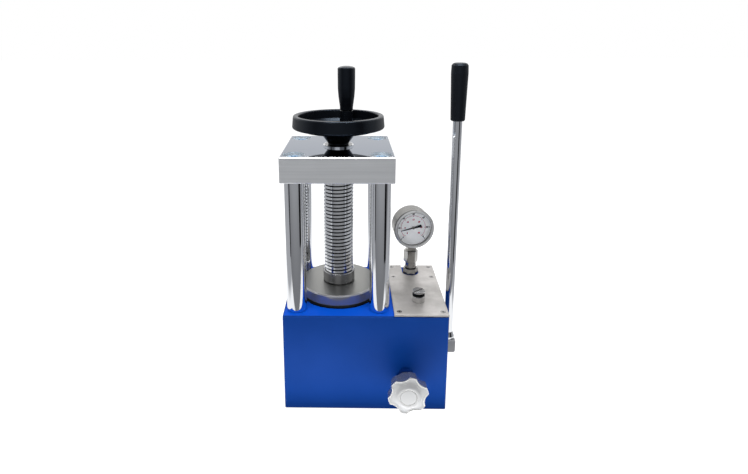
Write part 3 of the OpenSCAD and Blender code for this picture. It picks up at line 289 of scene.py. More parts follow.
# %% Shared effect: facing up
upward, given, result = new_group("Facing Up", {"Sides": 0.3, "Top": 0.1}, ["Value", "Mask"])
mask = ramp(upward, coordinates(upward, "Normal")["Z"], start=0.85, end=0.95)
switched = ramp(upward, mask, 0.0, 1.0, low=given["Sides"], high=given["Top"])
feed(upward, result, Mask=mask, Value=switched)
print("group:", upward.name)

# %% [markdown]
# ## Joining the effects to a shader
# Nearly every finish below has a bump from a height and a roughness from the smudge. Two small functions
# link those. The bump is shallow, a fifth of a millimetre at full strength.

# %% Finish helpers
BUMP_DEPTH = 0.2 * MM


def bump(tree, shader, height, strength):
    made = add(tree, "ShaderNodeBump", Height=height, Strength=strength, Distance=BUMP_DEPTH)
    feed(tree, shader, Normal=made.outputs["Normal"])


def smudged(tree, shader, scale, low, high):
    """Roughness between low and high; gives the cloud, for a tint that follows it."""
    made = place(tree, smudge, Scale=scale, Low=low, High=high)
    feed(tree, shader, Roughness=made["Roughness"])
    return made["Cloud"]


print("finish helpers ready")

# %% [markdown]
# ## Blue paint on the base
# The casting is sprayed in royal blue, satin rather than glossy, with a faint orange peel. The edge mask
# paints the edges a paler blue, a painted highlight. The cloud from the smudge also shifts the blue a
# little, and the top is painted a brighter, purer blue: painted light where the lamps hit it squarely.
# The gland behind the knob gets a darker blue, painted shade where it sits above the knob.

# %% Blue paint
PAINT_BLUE = (0.0018, 0.0365, 0.217)
PAINT_DEEP = (0.0012, 0.0325, 0.195)
# Painted light: a brighter blue for the top, a paler blue for the edges as a painted highlight, and a
# darker blue for the gland as painted shade.
PAINTED_TOP_LIGHT = (0.0004, 0.062, 0.45)
PAINTED_EDGE_HIGHLIGHT = (0.02, 0.13, 0.55)
GLAND_PAINTED_SHADE = (0.0005, 0.012, 0.085)


def sprayed_paint(name, blue, deep, top, edge_tint):
    material, tree, shader = new_material(name)
    cloud = smudged(tree, shader, scale=14.0, low=0.42, high=0.52)
    edge = place(tree, edges, Radius=1.2 * MM, Gain=2.0)["Edge"]
    # Faces that point up take the brighter top blue as painted light; the edge tint is a painted
    # highlight.
    body = blend(tree, place(tree, upward)["Mask"], blend(tree, cloud, blue, deep), top)
    feed(tree, shader, Base_Color=blend(tree, edge, body, edge_tint), Specular_IOR_Level=0.05)
    bump(tree, shader, place(tree, stipple, Scale=700.0)["Height"], strength=0.06)
    return material


blue_paint = sprayed_paint("blue paint", PAINT_BLUE, PAINT_DEEP, PAINTED_TOP_LIGHT, PAINTED_EDGE_HIGHLIGHT)
# The gland's darker blue is painted shade.
gland_painted_shade = sprayed_paint("gland painted shade", GLAND_PAINTED_SHADE, GLAND_PAINTED_SHADE, GLAND_PAINTED_SHADE, GLAND_PAINTED_SHADE)
print("finish:", blue_paint.name, "and", gland_painted_shade.name)

# %% [markdown]
# ## Chrome
# Columns and lever rod are hard-chromed and polished: a metal with almost no roughness, whose look is
# what stands round it. A painted reflection would stay put when the view turns, so the studio further
# down gives the metal something to mirror. A trace of turning lines keeps the mirror from being perfect.

# %% Chrome
CHROME = (0.80, 0.815, 0.84)
chrome, tree, shader = new_material("chrome")
feed(tree, shader, Base_Color=CHROME, Metallic=1.0)
smudged(tree, shader, scale=25.0, low=0.03, high=0.075)
bump(tree, shader, place(tree, turning, Rings=0.0, Stacks=1500.0)["Lines"], strength=0.015)
print("finish:", chrome.name)

# %% [markdown]
# ## Top plate
# The plate's top is polished so far that it mirrors the wheel, while its sides are ground in level
# streaks. The upward mask switches between the two grounds. The top is also painted a dark bluish grey,
# far darker than the sides: painted shade, tinted like the blue it mirrors. The edge mask paints the
# chamfers a duller grey, painted shade that dims their highlight. The sides are a little less than fully
# metallic, so that they keep some light where the room they mirror is dark.

# %% Plate steel
PLATE_SIDE = (0.95, 0.965, 0.98)
PLATE_DULL = (0.72, 0.735, 0.75)
# Painted shade: the top's dark bluish tint, and the duller grey of the edges.
PLATE_TOP_PAINTED_SHADE = (0.165, 0.20, 0.265)
PLATE_EDGE_PAINTED_SHADE = (0.45, 0.46, 0.47)
plate_steel, tree, shader = new_material("plate steel")
facing = place(tree, upward, Sides=0.45, Top=0.03)
cloud = place(tree, smudge, Scale=22.0, Low=-0.02, High=0.03)
streaks = place(tree, grain, Along_X=5.0, Along_Y=5.0, Along_Z=260.0)
scratches = place(tree, grain, Along_X=60.0, Along_Y=60.0, Along_Z=2500.0)
edge = place(tree, edges, Radius=1.2 * MM, Gain=3.0)
sides = blend(tree, streaks["Scratches"], PLATE_SIDE, PLATE_DULL)
ground = blend(tree, facing["Mask"], sides, PLATE_TOP_PAINTED_SHADE)
feed(tree, shader, Base_Color=blend(tree, edge["Edge"], ground, PLATE_EDGE_PAINTED_SHADE))
feed(tree, shader, Metallic=place(tree, upward, Sides=0.87, Top=1.0)["Value"])
feed(tree, shader, Roughness=calc(tree, "ADD", facing["Value"], cloud["Roughness"], clamp=True))
bump(tree, shader, scratches["Scratches"], strength=0.05)
print("finish:", plate_steel.name)

# %% [markdown]
# ## Ram
# The ram is the other way round: its top is ground in rings and its side is chromed. The turning lines
# make the rings, in the bump and in the roughness. The rim between top and side carries a painted
# highlight: the edge mask paints it bright and takes the metal away there, so that the rim stays pale
# whatever it mirrors.

# %% Ram chrome
RAM_TOP = (0.245, 0.245, 0.237)
RAM_SIDE = (0.36, 0.36, 0.37)
# The rim's pale tint is a painted highlight.
RAM_EDGE_PAINTED_HIGHLIGHT = (0.9, 0.91, 0.93)
RING_SHARE = 0.16
ram_chrome, tree, shader = new_material("ram chrome")
facing = place(tree, upward, Sides=0.14, Top=0.36)
metal = place(tree, upward, Sides=0.6, Top=1.0)["Value"]
lines = place(tree, turning, Rings=1500.0, Stacks=900.0)["Lines"]
edge = place(tree, edges, Radius=1.4 * MM, Gain=3.0)["Edge"]
marks = calc(tree, "MULTIPLY", calc(tree, "SUBTRACT", lines, 0.5), RING_SHARE)
ground = blend(tree, facing["Mask"], RAM_SIDE, RAM_TOP)
feed(tree, shader, Base_Color=blend(tree, edge, ground, RAM_EDGE_PAINTED_HIGHLIGHT))
feed(tree, shader, Metallic=calc(tree, "MULTIPLY", metal, calc(tree, "SUBTRACT", 1.0, edge)))
feed(tree, shader, Roughness=calc(tree, "ADD", facing["Value"], marks))
bump(tree, shader, lines, strength=0.05)
print("finish:", ram_chrome.name)

# %% [markdown]
# ## Cover sheet
# The tank is closed by a sheet of stainless steel, warm grey, brushed and a little blotchy from oily
# hands. The grain runs from side to side. The same cloud makes the blotches in tint and in shine.

# %% Cover steel
COVER_PALE = (0.49, 0.472, 0.46)
COVER_DULL = (0.36, 0.347, 0.335)
cover_steel, tree, shader = new_material("cover steel")
cloud = smudged(tree, shader, scale=38.0, low=0.38, high=0.52)
feed(tree, shader, Base_Color=blend(tree, cloud, COVER_PALE, COVER_DULL), Metallic=0.75)
scratches = place(tree, grain, Along_X=80.0, Along_Y=2800.0, Along_Z=400.0)
bump(tree, shader, scratches["Scratches"], strength=0.07)
print("finish:", cover_steel.name)

# %% [markdown]
# ## Turned and plated steels
# The small metal pieces differ only in tint, shine and how clearly the lathe shows. One function takes
# those values and builds the material, so the list of finishes stays short to read. An edge tint, where
# given, paints the edges and makes them less metallic: a painted highlight on the pad's rim, and painted
# shade as dark lines along the edges of the fittings and the plug.

# %% Turned metal


def turned_metal(name, tint, low, high, axis=(0.0, 0.0), lines=0.05, edge_tint=None, metal=1.0):
    material, tree, shader = new_material(name)
    feed(tree, shader, Base_Color=tint, Metallic=metal)
    if edge_tint:
        edge = place(tree, edges, Radius=1.0 * MM, Gain=5.0)["Edge"]
        feed(tree, shader, Base_Color=blend(tree, edge, tint, edge_tint))
        feed(tree, shader, Metallic=calc(tree, "SUBTRACT", 1.0, edge))
    smudged(tree, shader, scale=60.0, low=low, high=high)
    rings = place(tree, turning, Axis_X=axis[0], Axis_Y=axis[1], Rings=1800.0, Stacks=1800.0)
    bump(tree, shader, rings["Lines"], strength=lines)
    return material


def axis_of(node):
    low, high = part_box(node)
    return ((low.x + high.x) / 2, (low.y + high.y) / 2)


print("turned metal ready")

# %% [markdown]
# ## The list of steels
# In order: the cover's screws, the blued screws of the columns, the pad, the black grub screws and the
# wheel's nut, the blocks of lever and pump, the brass works of pump and gauge, the shafts and balls, and
# the plated fittings of gauge and filler. The fittings stand off the press axis, so they give their own
# axis for the rings.

# %% Turned steels
# A near-black edge tint: painted shade that draws dark lines along the edges of fittings and plug.
EDGE_PAINTED_SHADE = (0.03, 0.03, 0.03)
bright_screw = turned_metal("bright screw", (0.34, 0.335, 0.33), low=0.16, high=0.28)
zinc_steel = turned_metal("blue zinc", (0.62, 0.76, 0.88), low=0.14, high=0.26, metal=0.65)
# The pad's pale edge tint is a painted highlight on its rim.
pad_steel = turned_metal(
    "pad steel", (0.46, 0.46, 0.47), low=0.13, high=0.24, lines=0.12, edge_tint=(0.8, 0.8, 0.8)
)
dark_steel = turned_metal("black oxide steel", (0.10, 0.10, 0.105), low=0.35, high=0.5)
socket_steel = turned_metal("machined steel", (0.24, 0.245, 0.255), low=0.32, high=0.46)
brass = turned_metal("brass", (0.70, 0.52, 0.24), low=0.2, high=0.36)
bearing_steel = turned_metal("bearing steel", (0.6, 0.6, 0.61), low=0.12, high=0.22)
fitting_steel = turned_metal(
    "plated fitting", (0.45, 0.445, 0.425), low=0.07, high=0.15,
    axis=axis_of("union_nut"), lines=0.03, edge_tint=EDGE_PAINTED_SHADE,
)
plug_steel = turned_metal(
    "plated plug", (0.62, 0.615, 0.61), low=0.08, high=0.18,
    axis=axis_of("filler_bush"), lines=0.08, edge_tint=EDGE_PAINTED_SHADE,
)
print("turned finishes: 9")

# %% [markdown]
# ## Gauge steel
# The gauge's can is dull grey. Its front-facing rim is painted pale, a painted highlight, and a dark line
# between them is painted shade. All three follow from the way a point faces: the rim faces the front, the
# can does not, and the line is half way. So one run over the normal's Y makes the rim, and its middle
# makes the line.

# %% Gauge can and rim
CAN_GREY = (0.24, 0.237, 0.228)
# Painted highlight for the rim that faces the front, painted shade for the line between rim and can.
RIM_PAINTED_LIGHT = (0.62, 0.625, 0.63)
RIM_PAINTED_SHADE = (0.03, 0.03, 0.029)
RIM_METAL = 0.35
gauge_steel = turned_metal(
    "gauge steel", CAN_GREY, low=0.24, high=0.38, axis=axis_of("gauge_case"), lines=0.03
)
tree = gauge_steel.node_tree
shader = tree.nodes["Principled BSDF"]
ahead = ramp(tree, coordinates(tree, "Normal")["Y"], start=-0.25, end=-0.92)
off_middle = calc(tree, "MULTIPLY", calc(tree, "SUBTRACT", ahead, 0.5), 2.0)
# The line half way round is painted shade; the pale rim is a painted highlight.
line = calc(tree, "SUBTRACT", 1.0, calc(tree, "ABSOLUTE", off_middle), clamp=True)
rim = blend(tree, ahead, CAN_GREY, RIM_PAINTED_LIGHT)
feed(tree, shader, Base_Color=blend(tree, line, rim, RIM_PAINTED_SHADE))
feed(tree, shader, Metallic=ramp(tree, ahead, 0.0, 1.0, low=1.0, high=RIM_METAL))
print("finish:", gauge_steel.name)

# %% [markdown]
# ## Screw steel, darker in the thread
# The lead screw's crests are bright and its roots darker. Two materials would meet in a hard line. The
# distance from the press axis tells crest from root, so a run over that distance mixes the two softly.

# %% Screw steel
screw_low, screw_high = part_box("lead_screw")
SCREW_R = screw_high.x
THREAD_PITCH = 5.35 * MM
THREAD_DEPTH = 2.7 * MM
ROOT_R = SCREW_R - THREAD_DEPTH
CLEAN_R = SCREW_R - 0.3 * THREAD_DEPTH
CREST = (0.84, 0.855, 0.875)
ROOT = (0.16, 0.165, 0.175)
screw_steel, tree, shader = new_material("screw steel")
spot = coordinates(tree)
to_crest = ramp(tree, distance(tree, spot["X"], spot["Y"]), ROOT_R, CLEAN_R)
feed(tree, shader, Base_Color=blend(tree, to_crest, ROOT, CREST), Metallic=1.0)
smudged(tree, shader, scale=60.0, low=0.10, high=0.17)
bump(tree, shader, place(tree, turning, Rings=1500.0, Stacks=0.0)["Lines"], strength=0.05)
print("finish:", screw_steel.name)

# %% [markdown]
# ## Black mouldings
# Wheel and handle are black moulded resin with a satin sheen; their lips are rubbed to a softer grey.
# The lever's grip is duller and has a fine skin. The rubber rings are the dullest. They differ only in
# a few values, so one function makes them all. The sheen on black looks cool, so the reflections are
# tinted a little blue.

# %% Black plastics and rubber
COOL_SHEEN = (0.62, 0.78, 1.0)


def black_moulding(name, tint, edge_tint, low, high, skin, sheen=0.3):
    material, tree, shader = new_material(name)
    smudged(tree, shader, scale=26.0, low=low, high=high)
    edge = place(tree, edges, Radius=1.6 * MM, Gain=1.6)["Edge"]
    feed(tree, shader, Base_Color=blend(tree, edge, tint, edge_tint))
    feed(tree, shader, Specular_IOR_Level=sheen, Specular_Tint=COOL_SHEEN)
    bump(tree, shader, place(tree, stipple, Scale=1500.0)["Height"], strength=skin)
    return material


black_resin = black_moulding(
    "black resin", (0.003, 0.0035, 0.005), (0.02, 0.022, 0.024), low=0.26, high=0.36, skin=0.04
)
black_grip = black_moulding(
    "black grip", (0.004, 0.0045, 0.006), (0.012, 0.012, 0.013), low=0.42, high=0.54, skin=0.12
)
black_rubber = black_moulding(
    "black rubber", (0.004, 0.004, 0.004), (0.008, 0.008, 0.008), low=0.5, high=0.65, skin=0.15, sheen=0.06
)
pointer_black = black_moulding(
    "pointer black", (0.01, 0.01, 0.01), (0.012, 0.012, 0.012), low=0.4, high=0.5, skin=0.02
)
print("black finishes: 4")

# %% [markdown]
# ## Pale knob
# The release knob is pale grey plastic with polished flanks, which mirror the blue wall behind them.
# Everything behind the face's edge counts as flank; a run over the depth finds it, with no faces to pick.
# The edge mask paints the sharp front edge a creamy white, a painted highlight. On the cap it paints a
# slightly darker grey, painted shade in the ring round it.

# %% Knob plastic
KNOB_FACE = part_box("release_knob")[0].y
FLANK_START = KNOB_FACE + 0.8 * MM
FLANK_FULL = KNOB_FACE + 1.4 * MM
FLANK_METAL = 0.85
FLANK_SHINE = 0.25


def pale_moulding(name, tint, edge_tint, flank_tint):
    material, tree, shader = new_material(name)
    flank = ramp(tree, coordinates(tree)["Y"], FLANK_START, FLANK_FULL)
    cloud = place(tree, smudge, Scale=40.0, Low=0.4, High=0.55)["Roughness"]
    edge = place(tree, edges, Radius=1.5 * MM, Gain=3.5)["Edge"]
    ground = blend(tree, flank, tint, flank_tint)
    feed(tree, shader, Base_Color=blend(tree, edge, ground, edge_tint))
    feed(tree, shader, Metallic=calc(tree, "MULTIPLY", flank, FLANK_METAL))
    shine = calc(tree, "MULTIPLY", flank, FLANK_SHINE)
    feed(tree, shader, Roughness=calc(tree, "SUBTRACT", cloud, shine))
    bump(tree, shader, place(tree, stipple, Scale=1800.0)["Height"], strength=0.06)
    return material


# The knob's creamy edge tint is a painted highlight.
knob_plastic = pale_moulding(
    "knob plastic", (0.30, 0.304, 0.308), edge_tint=(0.95, 0.93, 0.86), flank_tint=(0.38, 0.40, 0.44)
)
# The cap's darker edge tint is painted shade in the ring round the cap.
cap_plastic = pale_moulding(
    "cap plastic", (0.32, 0.324, 0.328), edge_tint=(0.26, 0.26, 0.255), flank_tint=(0.4, 0.4, 0.4)
)
print("pale finishes: 2")

# %% [markdown]
# ## Dial, ink and glass
# The dial is enamelled white, printed in black and red. A faint glow makes up for the light that the
# case and the glass keep from it. The glass in front is clear, so it keeps a plain transmission and only
# reflects.

# %% Dial and glass


def enamel(name, tint, glow=0.0):
    material, tree, shader = new_material(name)
    feed(tree, shader, Base_Color=tint, Emission_Color=tint, Emission_Strength=glow)
    smudged(tree, shader, scale=90.0, low=0.38, high=0.5)
    bump(tree, shader, place(tree, stipple, Scale=2500.0)["Height"], strength=0.03)
    return material


dial_white = enamel("dial enamel", (0.86, 0.865, 0.90), glow=0.26)
ink_black = enamel("black ink", (0.012, 0.012, 0.014))
ink_red = enamel("red ink", (0.52, 0.02, 0.045))
gauge_glass, tree, shader = new_material("gauge glass")
feed(tree, shader, Base_Color=(0.97, 0.98, 0.98), Transmission_Weight=1.0, IOR=1.12)
smudged(tree, shader, scale=30.0, low=0.0, high=0.02)
print("dial finishes: 4")

# %% [markdown]
# ## Dressing the frame
# The record names a material slot for every piece, so one table of slots dresses all of them. The lead
# screw shares its slot with shafts and balls inside, which get the plain bearing steel; the thread made
# below brings the screw steel with its darker roots. The valve's gland is painted apart from the base.

# %% Give every piece its finish
finishes = {
    "blue_paint": blue_paint, "cover_steel": cover_steel, "bright_screw": bright_screw, "chrome": chrome,
    "plate_steel": plate_steel, "zinc_steel": zinc_steel, "black_rubber": black_rubber,
    "ram_chrome": ram_chrome, "screw_steel": bearing_steel, "pad_steel": pad_steel,
    "dark_steel": dark_steel, "black_bakelite": black_resin, "black_grip": black_grip,
    "socket_steel": socket_steel, "brass": brass, "knob_plastic": knob_plastic,
    "cap_plastic": cap_plastic, "gauge_steel": gauge_steel, "gauge_glass": gauge_glass,
    "dial_white": dial_white, "pointer_black": pointer_black, "fitting_steel": fitting_steel,
    "plug_steel": plug_steel,
}
for entry in frame["record"]["subparts"]:
    piece = nodes[entry["node"]]
    piece.data.materials.clear()
    piece.data.materials.append(finishes[entry["material_slot"]])
# The gland takes the darker blue, which is painted shade.
nodes["valve_gland"].data.materials[0] = gland_painted_shade
print("dressed:", len(nodes), "pieces with", len(finishes), "finishes")

# %% [markdown]
# ## Making a piece
# Every added piece is a list of points and faces made into a mesh. It is shaded, gets its finish and rides
# on a body of the frame. Round pieces come from a lathe, which turns a profile into such lists. Blender's
# own primitives could not follow these profiles.

# %% Mesh helpers


def add_piece(name, points, faces, finish, body, angle=SHARP_ANGLE):
    mesh = bpy.data.meshes.new(name)
    mesh.from_pydata([tuple(p) for p in points], [], faces)
    mesh.validate()
    mesh.update()
    shade(mesh, angle)
    mesh.materials.append(finish)
    made = bpy.data.objects.new(name, mesh)
    scene.collection.objects.link(made)
    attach(made, body)
    return made


def turn_profile(profile, steps):
    """Points and faces of a profile of (radius, height) turned round Z; ends on the axis close it."""
    points, faces, rings = [], [], []
    for radius, height in profile:
        if radius == 0:
            rings.append([len(points)])
            points.append((0.0, 0.0, height))
            continue
        rings.append(list(range(len(points), len(points) + steps)))
        for i in range(steps):
            a = 2 * math.pi * i / steps
            points.append((radius * math.cos(a), radius * math.sin(a), height))
    for low, high in zip(rings, rings[1:]):
        for i in range(steps):
            j = (i + 1) % steps
            if len(low) == 1:
                faces.append((low[0], high[j], high[i]))
            elif len(high) == 1:
                faces.append((low[i], low[j], high[0]))
            else:
                faces.append((low[i], low[j], high[j], high[i]))
    return points, faces


print("mesh helpers ready")

# %% [markdown]
# ## Thread of the lead screw
# The CAD screw is a plain cylinder of the thread's outer size. The real one has a trapezoidal thread:
# a flat crest, a flat root and steep flanks. Four points across one pitch, carried round a helix, make
# strips that meet the next turn. Points past either end are drawn to the end plane, which closes it.
# Blender's Screw modifier would make the helix too, but not ends that close against a plane.

# %% Cut the thread
THREAD_STEPS = 72
THREAD_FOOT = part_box("pressure_pad")[1].z + 1.0 * MM
THREAD_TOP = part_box("top_plate")[1].z - 0.4 * MM
THREAD_PROFILE = [  # share of the pitch, radius
    (0.0, ROOT_R), (0.18, ROOT_R), (0.29, SCREW_R), (0.89, SCREW_R),
]


def thread_strip(foot, top):
    across = len(THREAD_PROFILE)
    rows = (math.ceil((top - foot) / THREAD_PITCH) + 2) * THREAD_STEPS + 1
    points, faces = [], []
    for i in range(rows):
        a = 2 * math.pi * i / THREAD_STEPS
        base = foot - THREAD_PITCH + THREAD_PITCH * i / THREAD_STEPS
        for share, r in THREAD_PROFILE:
            z = min(max(base + share * THREAD_PITCH, foot), top)
            points.append((r * math.cos(a), r * math.sin(a), z))

    def index(row, k):
        """Past the last point of a row comes the first point of the row one turn on."""
        return across * row + k if k < across else across * (row + THREAD_STEPS)

    for i in range(rows - 1):
        for k in range(across):
            face = (index(i, k), index(i + 1, k), index(i + 1, k + 1), index(i, k + 1))
            if max(face) < len(points):
                faces.append(face)
    return points, faces


points, faces = thread_strip(THREAD_FOOT, THREAD_TOP)
print("thread:", len(faces), "faces")

# %% [markdown]
# ## Core of the lead screw
# Below the thread a plain nose enters the pad, and above the plate a shoulder carries the wheel on a
# thinner shank. They are turned in one profile with the core that the thread stands on.

# %% Turn the core
NOSE_R = 17.0 * MM
NOSE_FOOT = screw_low.z + 5 * MM
SHANK_R = 8 * MM
SHANK_BEVEL = 1.5 * MM
SHOULDER_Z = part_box("handwheel")[0].z
SHOULDER_BEVEL = 0.6 * MM
THREAD_SHARP = math.radians(20)
core = [
    (0.0, NOSE_FOOT), (NOSE_R, NOSE_FOOT), (NOSE_R, THREAD_FOOT), (ROOT_R, THREAD_FOOT),
    (ROOT_R, THREAD_TOP), (SCREW_R, THREAD_TOP), (SCREW_R, SHOULDER_Z - SHOULDER_BEVEL),
    (SCREW_R - SHOULDER_BEVEL, SHOULDER_Z), (SHANK_R, SHOULDER_Z), (SHANK_R, screw_high.z - SHANK_BEVEL),
    (SHANK_R - SHANK_BEVEL, screw_high.z), (0.0, screw_high.z),
]
core_points, core_faces = turn_profile(core, THREAD_STEPS)
faces += [tuple(i + len(points) for i in face) for face in core_faces]
points += core_points
thread = add_piece("lead_screw_thread", points, faces, screw_steel, "screw", THREAD_SHARP)
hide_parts("lead_screw")
print("lead screw:", len(faces), "faces")

# %% [markdown]
# ## Star knob
# The CAD knob is cut in steps, as a saw would leave it. The moulded one runs in soft rounds: six lobes
# with scallops between them, a face that rises to a boss, and a hub behind. Rings of points along its
# axis, each with its own size and share of the scallop, loft the whole form in one skin. Cutting the
# scallops from a turned solid would leave hard edges instead.

# %% Shape the knob
spindle_low, spindle_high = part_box("valve_spindle")
KNOB_X = (spindle_low.x + spindle_high.x) / 2
KNOB_Z = (spindle_low.z + spindle_high.z) / 2
KNOB_R = 27.4 * MM
KNOB_LOBES = 6
KNOB_TURN = math.radians(17)
KNOB_STEPS = 240
KNOB_SHARP = math.radians(35)
SCALLOP_R = 17.3 * MM
SCALLOP_AT = 40.3 * MM


def knob_radius(angle, size, depth):
    """A round of the given size, bitten by six round scallops of the given share of full depth."""
    step = 2 * math.pi / KNOB_LOBES
    off = (angle - KNOB_TURN) % step - step / 2
    reach = SCALLOP_R ** 2 - (SCALLOP_AT * math.sin(off)) ** 2
    if reach <= 0:
        return size
    bite = SCALLOP_AT * math.cos(off) - math.sqrt(reach)
    return size - max(0.0, KNOB_R - bite) * depth


knob_rings = [  # depth behind the face, outer radius, share of the scallop's depth
    (29.0, 4.3, 0), (29.0, 15.6, 0), (28.2, 16.4, 0), (17.0, 16.8, 0), (16.6, 17.4, 0), (16.2, 24.4, 0.82),
    (15.4, 26.0, 0.95), (13.0, 26.8, 1.0), (1.0, 27.4, 1.0), (0.2, 27.2, 1.0), (0.0, 26.8, 1.0),
    (0.1, 26.2, 1.0), (0.7, 25.4, 0.95), (0.9, 23.0, 0.7), (0.6, 19.6, 0.3), (-0.4, 17.6, 0.05),
    (-1.8, 16.0, 0), (-2.6, 15.3, 0), (-3.0, 14.7, 0), (-3.2, 13.9, 0), (-3.2, 11.7, 0), (-3.0, 11.4, 0),
    (2.0, 11.3, 0), (2.0, 4.1, 0),
]
points, faces = [], []
for depth, size, hollow in knob_rings:
    for i in range(KNOB_STEPS):
        a = 2 * math.pi * i / KNOB_STEPS
        r = knob_radius(a, size * MM, hollow)
        points.append((KNOB_X + r * math.cos(a), KNOB_FACE + depth * MM, KNOB_Z + r * math.sin(a)))
for k in range(len(knob_rings) - 1):
    near, far = k * KNOB_STEPS, (k + 1) * KNOB_STEPS
    for i in range(KNOB_STEPS):
        j = (i + 1) % KNOB_STEPS
        faces.append((near + i, near + j, far + j, far + i))
knob = add_piece("star_knob", points, faces, knob_plastic, "valve", KNOB_SHARP)
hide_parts("release_knob")
print("knob rings:", len(knob_rings))

# %% [markdown]
# ## Cap of the knob
# The cap hides the fixing screw. It is a thin disc let into the boss, so a fine ring shows round it. The
# lathe turns it round Z, and its points are then laid over to the knob's axis.

# %% Shape the cap
CAP_STEPS = 96
cap_profile = [  # radius, depth behind the face
    (0.0, -1.2), (10.9, -1.2), (11.0, -3.0), (10.6, -3.3), (6.0, -3.45), (0.0, -3.5),
]
points, faces = turn_profile([(r * MM, -depth * MM) for r, depth in cap_profile], CAP_STEPS)
points = [(KNOB_X + x, KNOB_FACE - z, KNOB_Z + y) for x, y, z in points]
cap = add_piece("boss_cap", points, faces, cap_plastic, "valve", KNOB_SHARP)
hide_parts("knob_cap")
print("cap:", len(faces), "faces")

# %% [markdown]
# ## Laying out the dial
# The gauge is turned a little on its stem, so the dial has directions of its own: across, upward and
# outward. The print lies a hair in front of the enamel, where nothing can flicker through it. The scale
# runs clockwise over three quarters of a turn.

# %% Lay out the dial
GAUGE_TURN = math.radians(7)
ACROSS = Vector((math.cos(GAUGE_TURN), math.sin(GAUGE_TURN), 0))
OUTWARD = Vector((math.sin(GAUGE_TURN), -math.cos(GAUGE_TURN), 0))
UPWARD = Vector((0, 0, 1))
PRINT_GAP = 0.06 * MM
SCALE_START = math.radians(225)
SCALE_SWEEP = math.radians(270)
dial_low, dial_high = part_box("gauge_dial")
dial_middle = (dial_low + dial_high) / 2
dial_front = max((v.co - dial_middle).dot(OUTWARD) for v in nodes["gauge_dial"].data.vertices)
DIAL_CENTRE = dial_middle + OUTWARD * (dial_front + PRINT_GAP)


def on_dial(x, z):
    return DIAL_CENTRE + ACROSS * x + UPWARD * z


def round_dial(r, a):
    return on_dial(r * math.cos(a), r * math.sin(a))


def scale_angle(share):
    """The direction of a mark that lies at a share of the scale."""
    return SCALE_START - SCALE_SWEEP * share


print("dial centre:", tuple(round(c, 4) for c in DIAL_CENTRE))

# %% [markdown]
# ## Marks on the dial
# Black marks stand at the rim, and a second scale in red on an arc inside it. An image would be the
# usual way, but thin meshes stay sharp at any distance and need no file. All sizes are in millimetres.

# %% Print the marks


def ticks(name, finish, count, inner, outer, width):
    points, faces = [], []
    for i in range(count):
        a = scale_angle(i / (count - 1))
        side = (UPWARD * math.cos(a) - ACROSS * math.sin(a)) * width * MM / 2
        start, end = round_dial(inner * MM, a), round_dial(outer * MM, a)
        faces.append(tuple(range(len(points), len(points) + 4)))
        points += [start - side, end - side, end + side, start + side]
    add_piece(name, points, faces, finish, "frame")


def arc_band(name, finish, inner, outer, steps=90):
    points = []
    for i in range(steps + 1):
        a = scale_angle(i / steps)
        points += [round_dial(inner * MM, a), round_dial(outer * MM, a)]
    faces = [(2 * i, 2 * i + 1, 2 * i + 3, 2 * i + 2) for i in range(steps)]
    add_piece(name, points, faces, finish, "frame")


ticks("dial_marks_black", ink_black, count=7, inner=24.6, outer=26.8, width=1.3)
ticks("dial_fine_black", ink_black, count=61, inner=25.6, outer=27.0, width=0.22)
ticks("dial_marks_red", ink_red, count=7, inner=17.2, outer=19.6, width=0.7)
ticks("dial_fine_red", ink_red, count=43, inner=18.4, outer=19.4, width=0.25)
arc_band("dial_arc_red", ink_red, inner=19.3, outer=19.75)
print("dial marks: 5 pieces")

# %% [markdown]
# ## Numbers on the dial
# The numbers are Blender's own plain letters. A text is made, thickened a little as print is, and turned
# into a mesh whose points are laid on the dial. The text object itself is removed again.

# %% Print the numbers
NUMBERS = 7
BLACK_STEP, RED_STEP = 10, 5
INK_SPREAD = 0.07


def number(name, text, finish, a, r, size):
    curve = bpy.data.curves.new(name, "FONT")
    curve.body = text
    curve.size = size
    curve.offset = INK_SPREAD * size
    curve.align_x = "CENTER"
    curve.align_y = "CENTER"
    holder = bpy.data.objects.new(curve.name, curve)
    scene.collection.objects.link(holder)
    bpy.context.view_layer.update()
    mesh = bpy.data.meshes.new_from_object(holder)
    bpy.data.objects.remove(holder)
    x, z = r * math.cos(a), r * math.sin(a)
    points = [on_dial(x + v.co.x, z + v.co.y) for v in mesh.vertices]
    faces = [tuple(f.vertices) for f in mesh.polygons]
    bpy.data.meshes.remove(mesh)
    add_piece(name, points, faces, finish, "frame")


for i in range(NUMBERS):
    a = scale_angle(i / (NUMBERS - 1))
    number(f"number_black_{i}", str(BLACK_STEP * i), ink_black, a, r=22.2 * MM, size=3.5 * MM)
    number(f"number_red_{i}", str(RED_STEP * i), ink_red, a, r=13.0 * MM, size=3.6 * MM)
print("numbers:", 2 * NUMBERS)

# %% [markdown]
# ## Pointer
# The pointer is a thin blade that narrows to the scale, with a broad tail that balances it. The CAD one
# is simpler, so this one takes its place. Half an outline, mirrored, keeps both sides alike.

# %% Shape the pointer
POINTER_TURN = math.radians(193.6)
POINTER_LIFT = 1.3 * MM
BLADE_THICK = 0.5 * MM
blade = [(-13.2, -2.1), (-12.4, -2.2), (-3.0, -1.5), (0.0, -1.2), (19.5, -0.55), (20.8, 0.0)]
outline = blade + [(x, -y) for x, y in reversed(blade[:-1])]


def on_pointer(x, y, lift):
    c, s = math.cos(POINTER_TURN), math.sin(POINTER_TURN)
    return on_dial((x * c - y * s) * MM, (x * s + y * c) * MM) + OUTWARD * lift


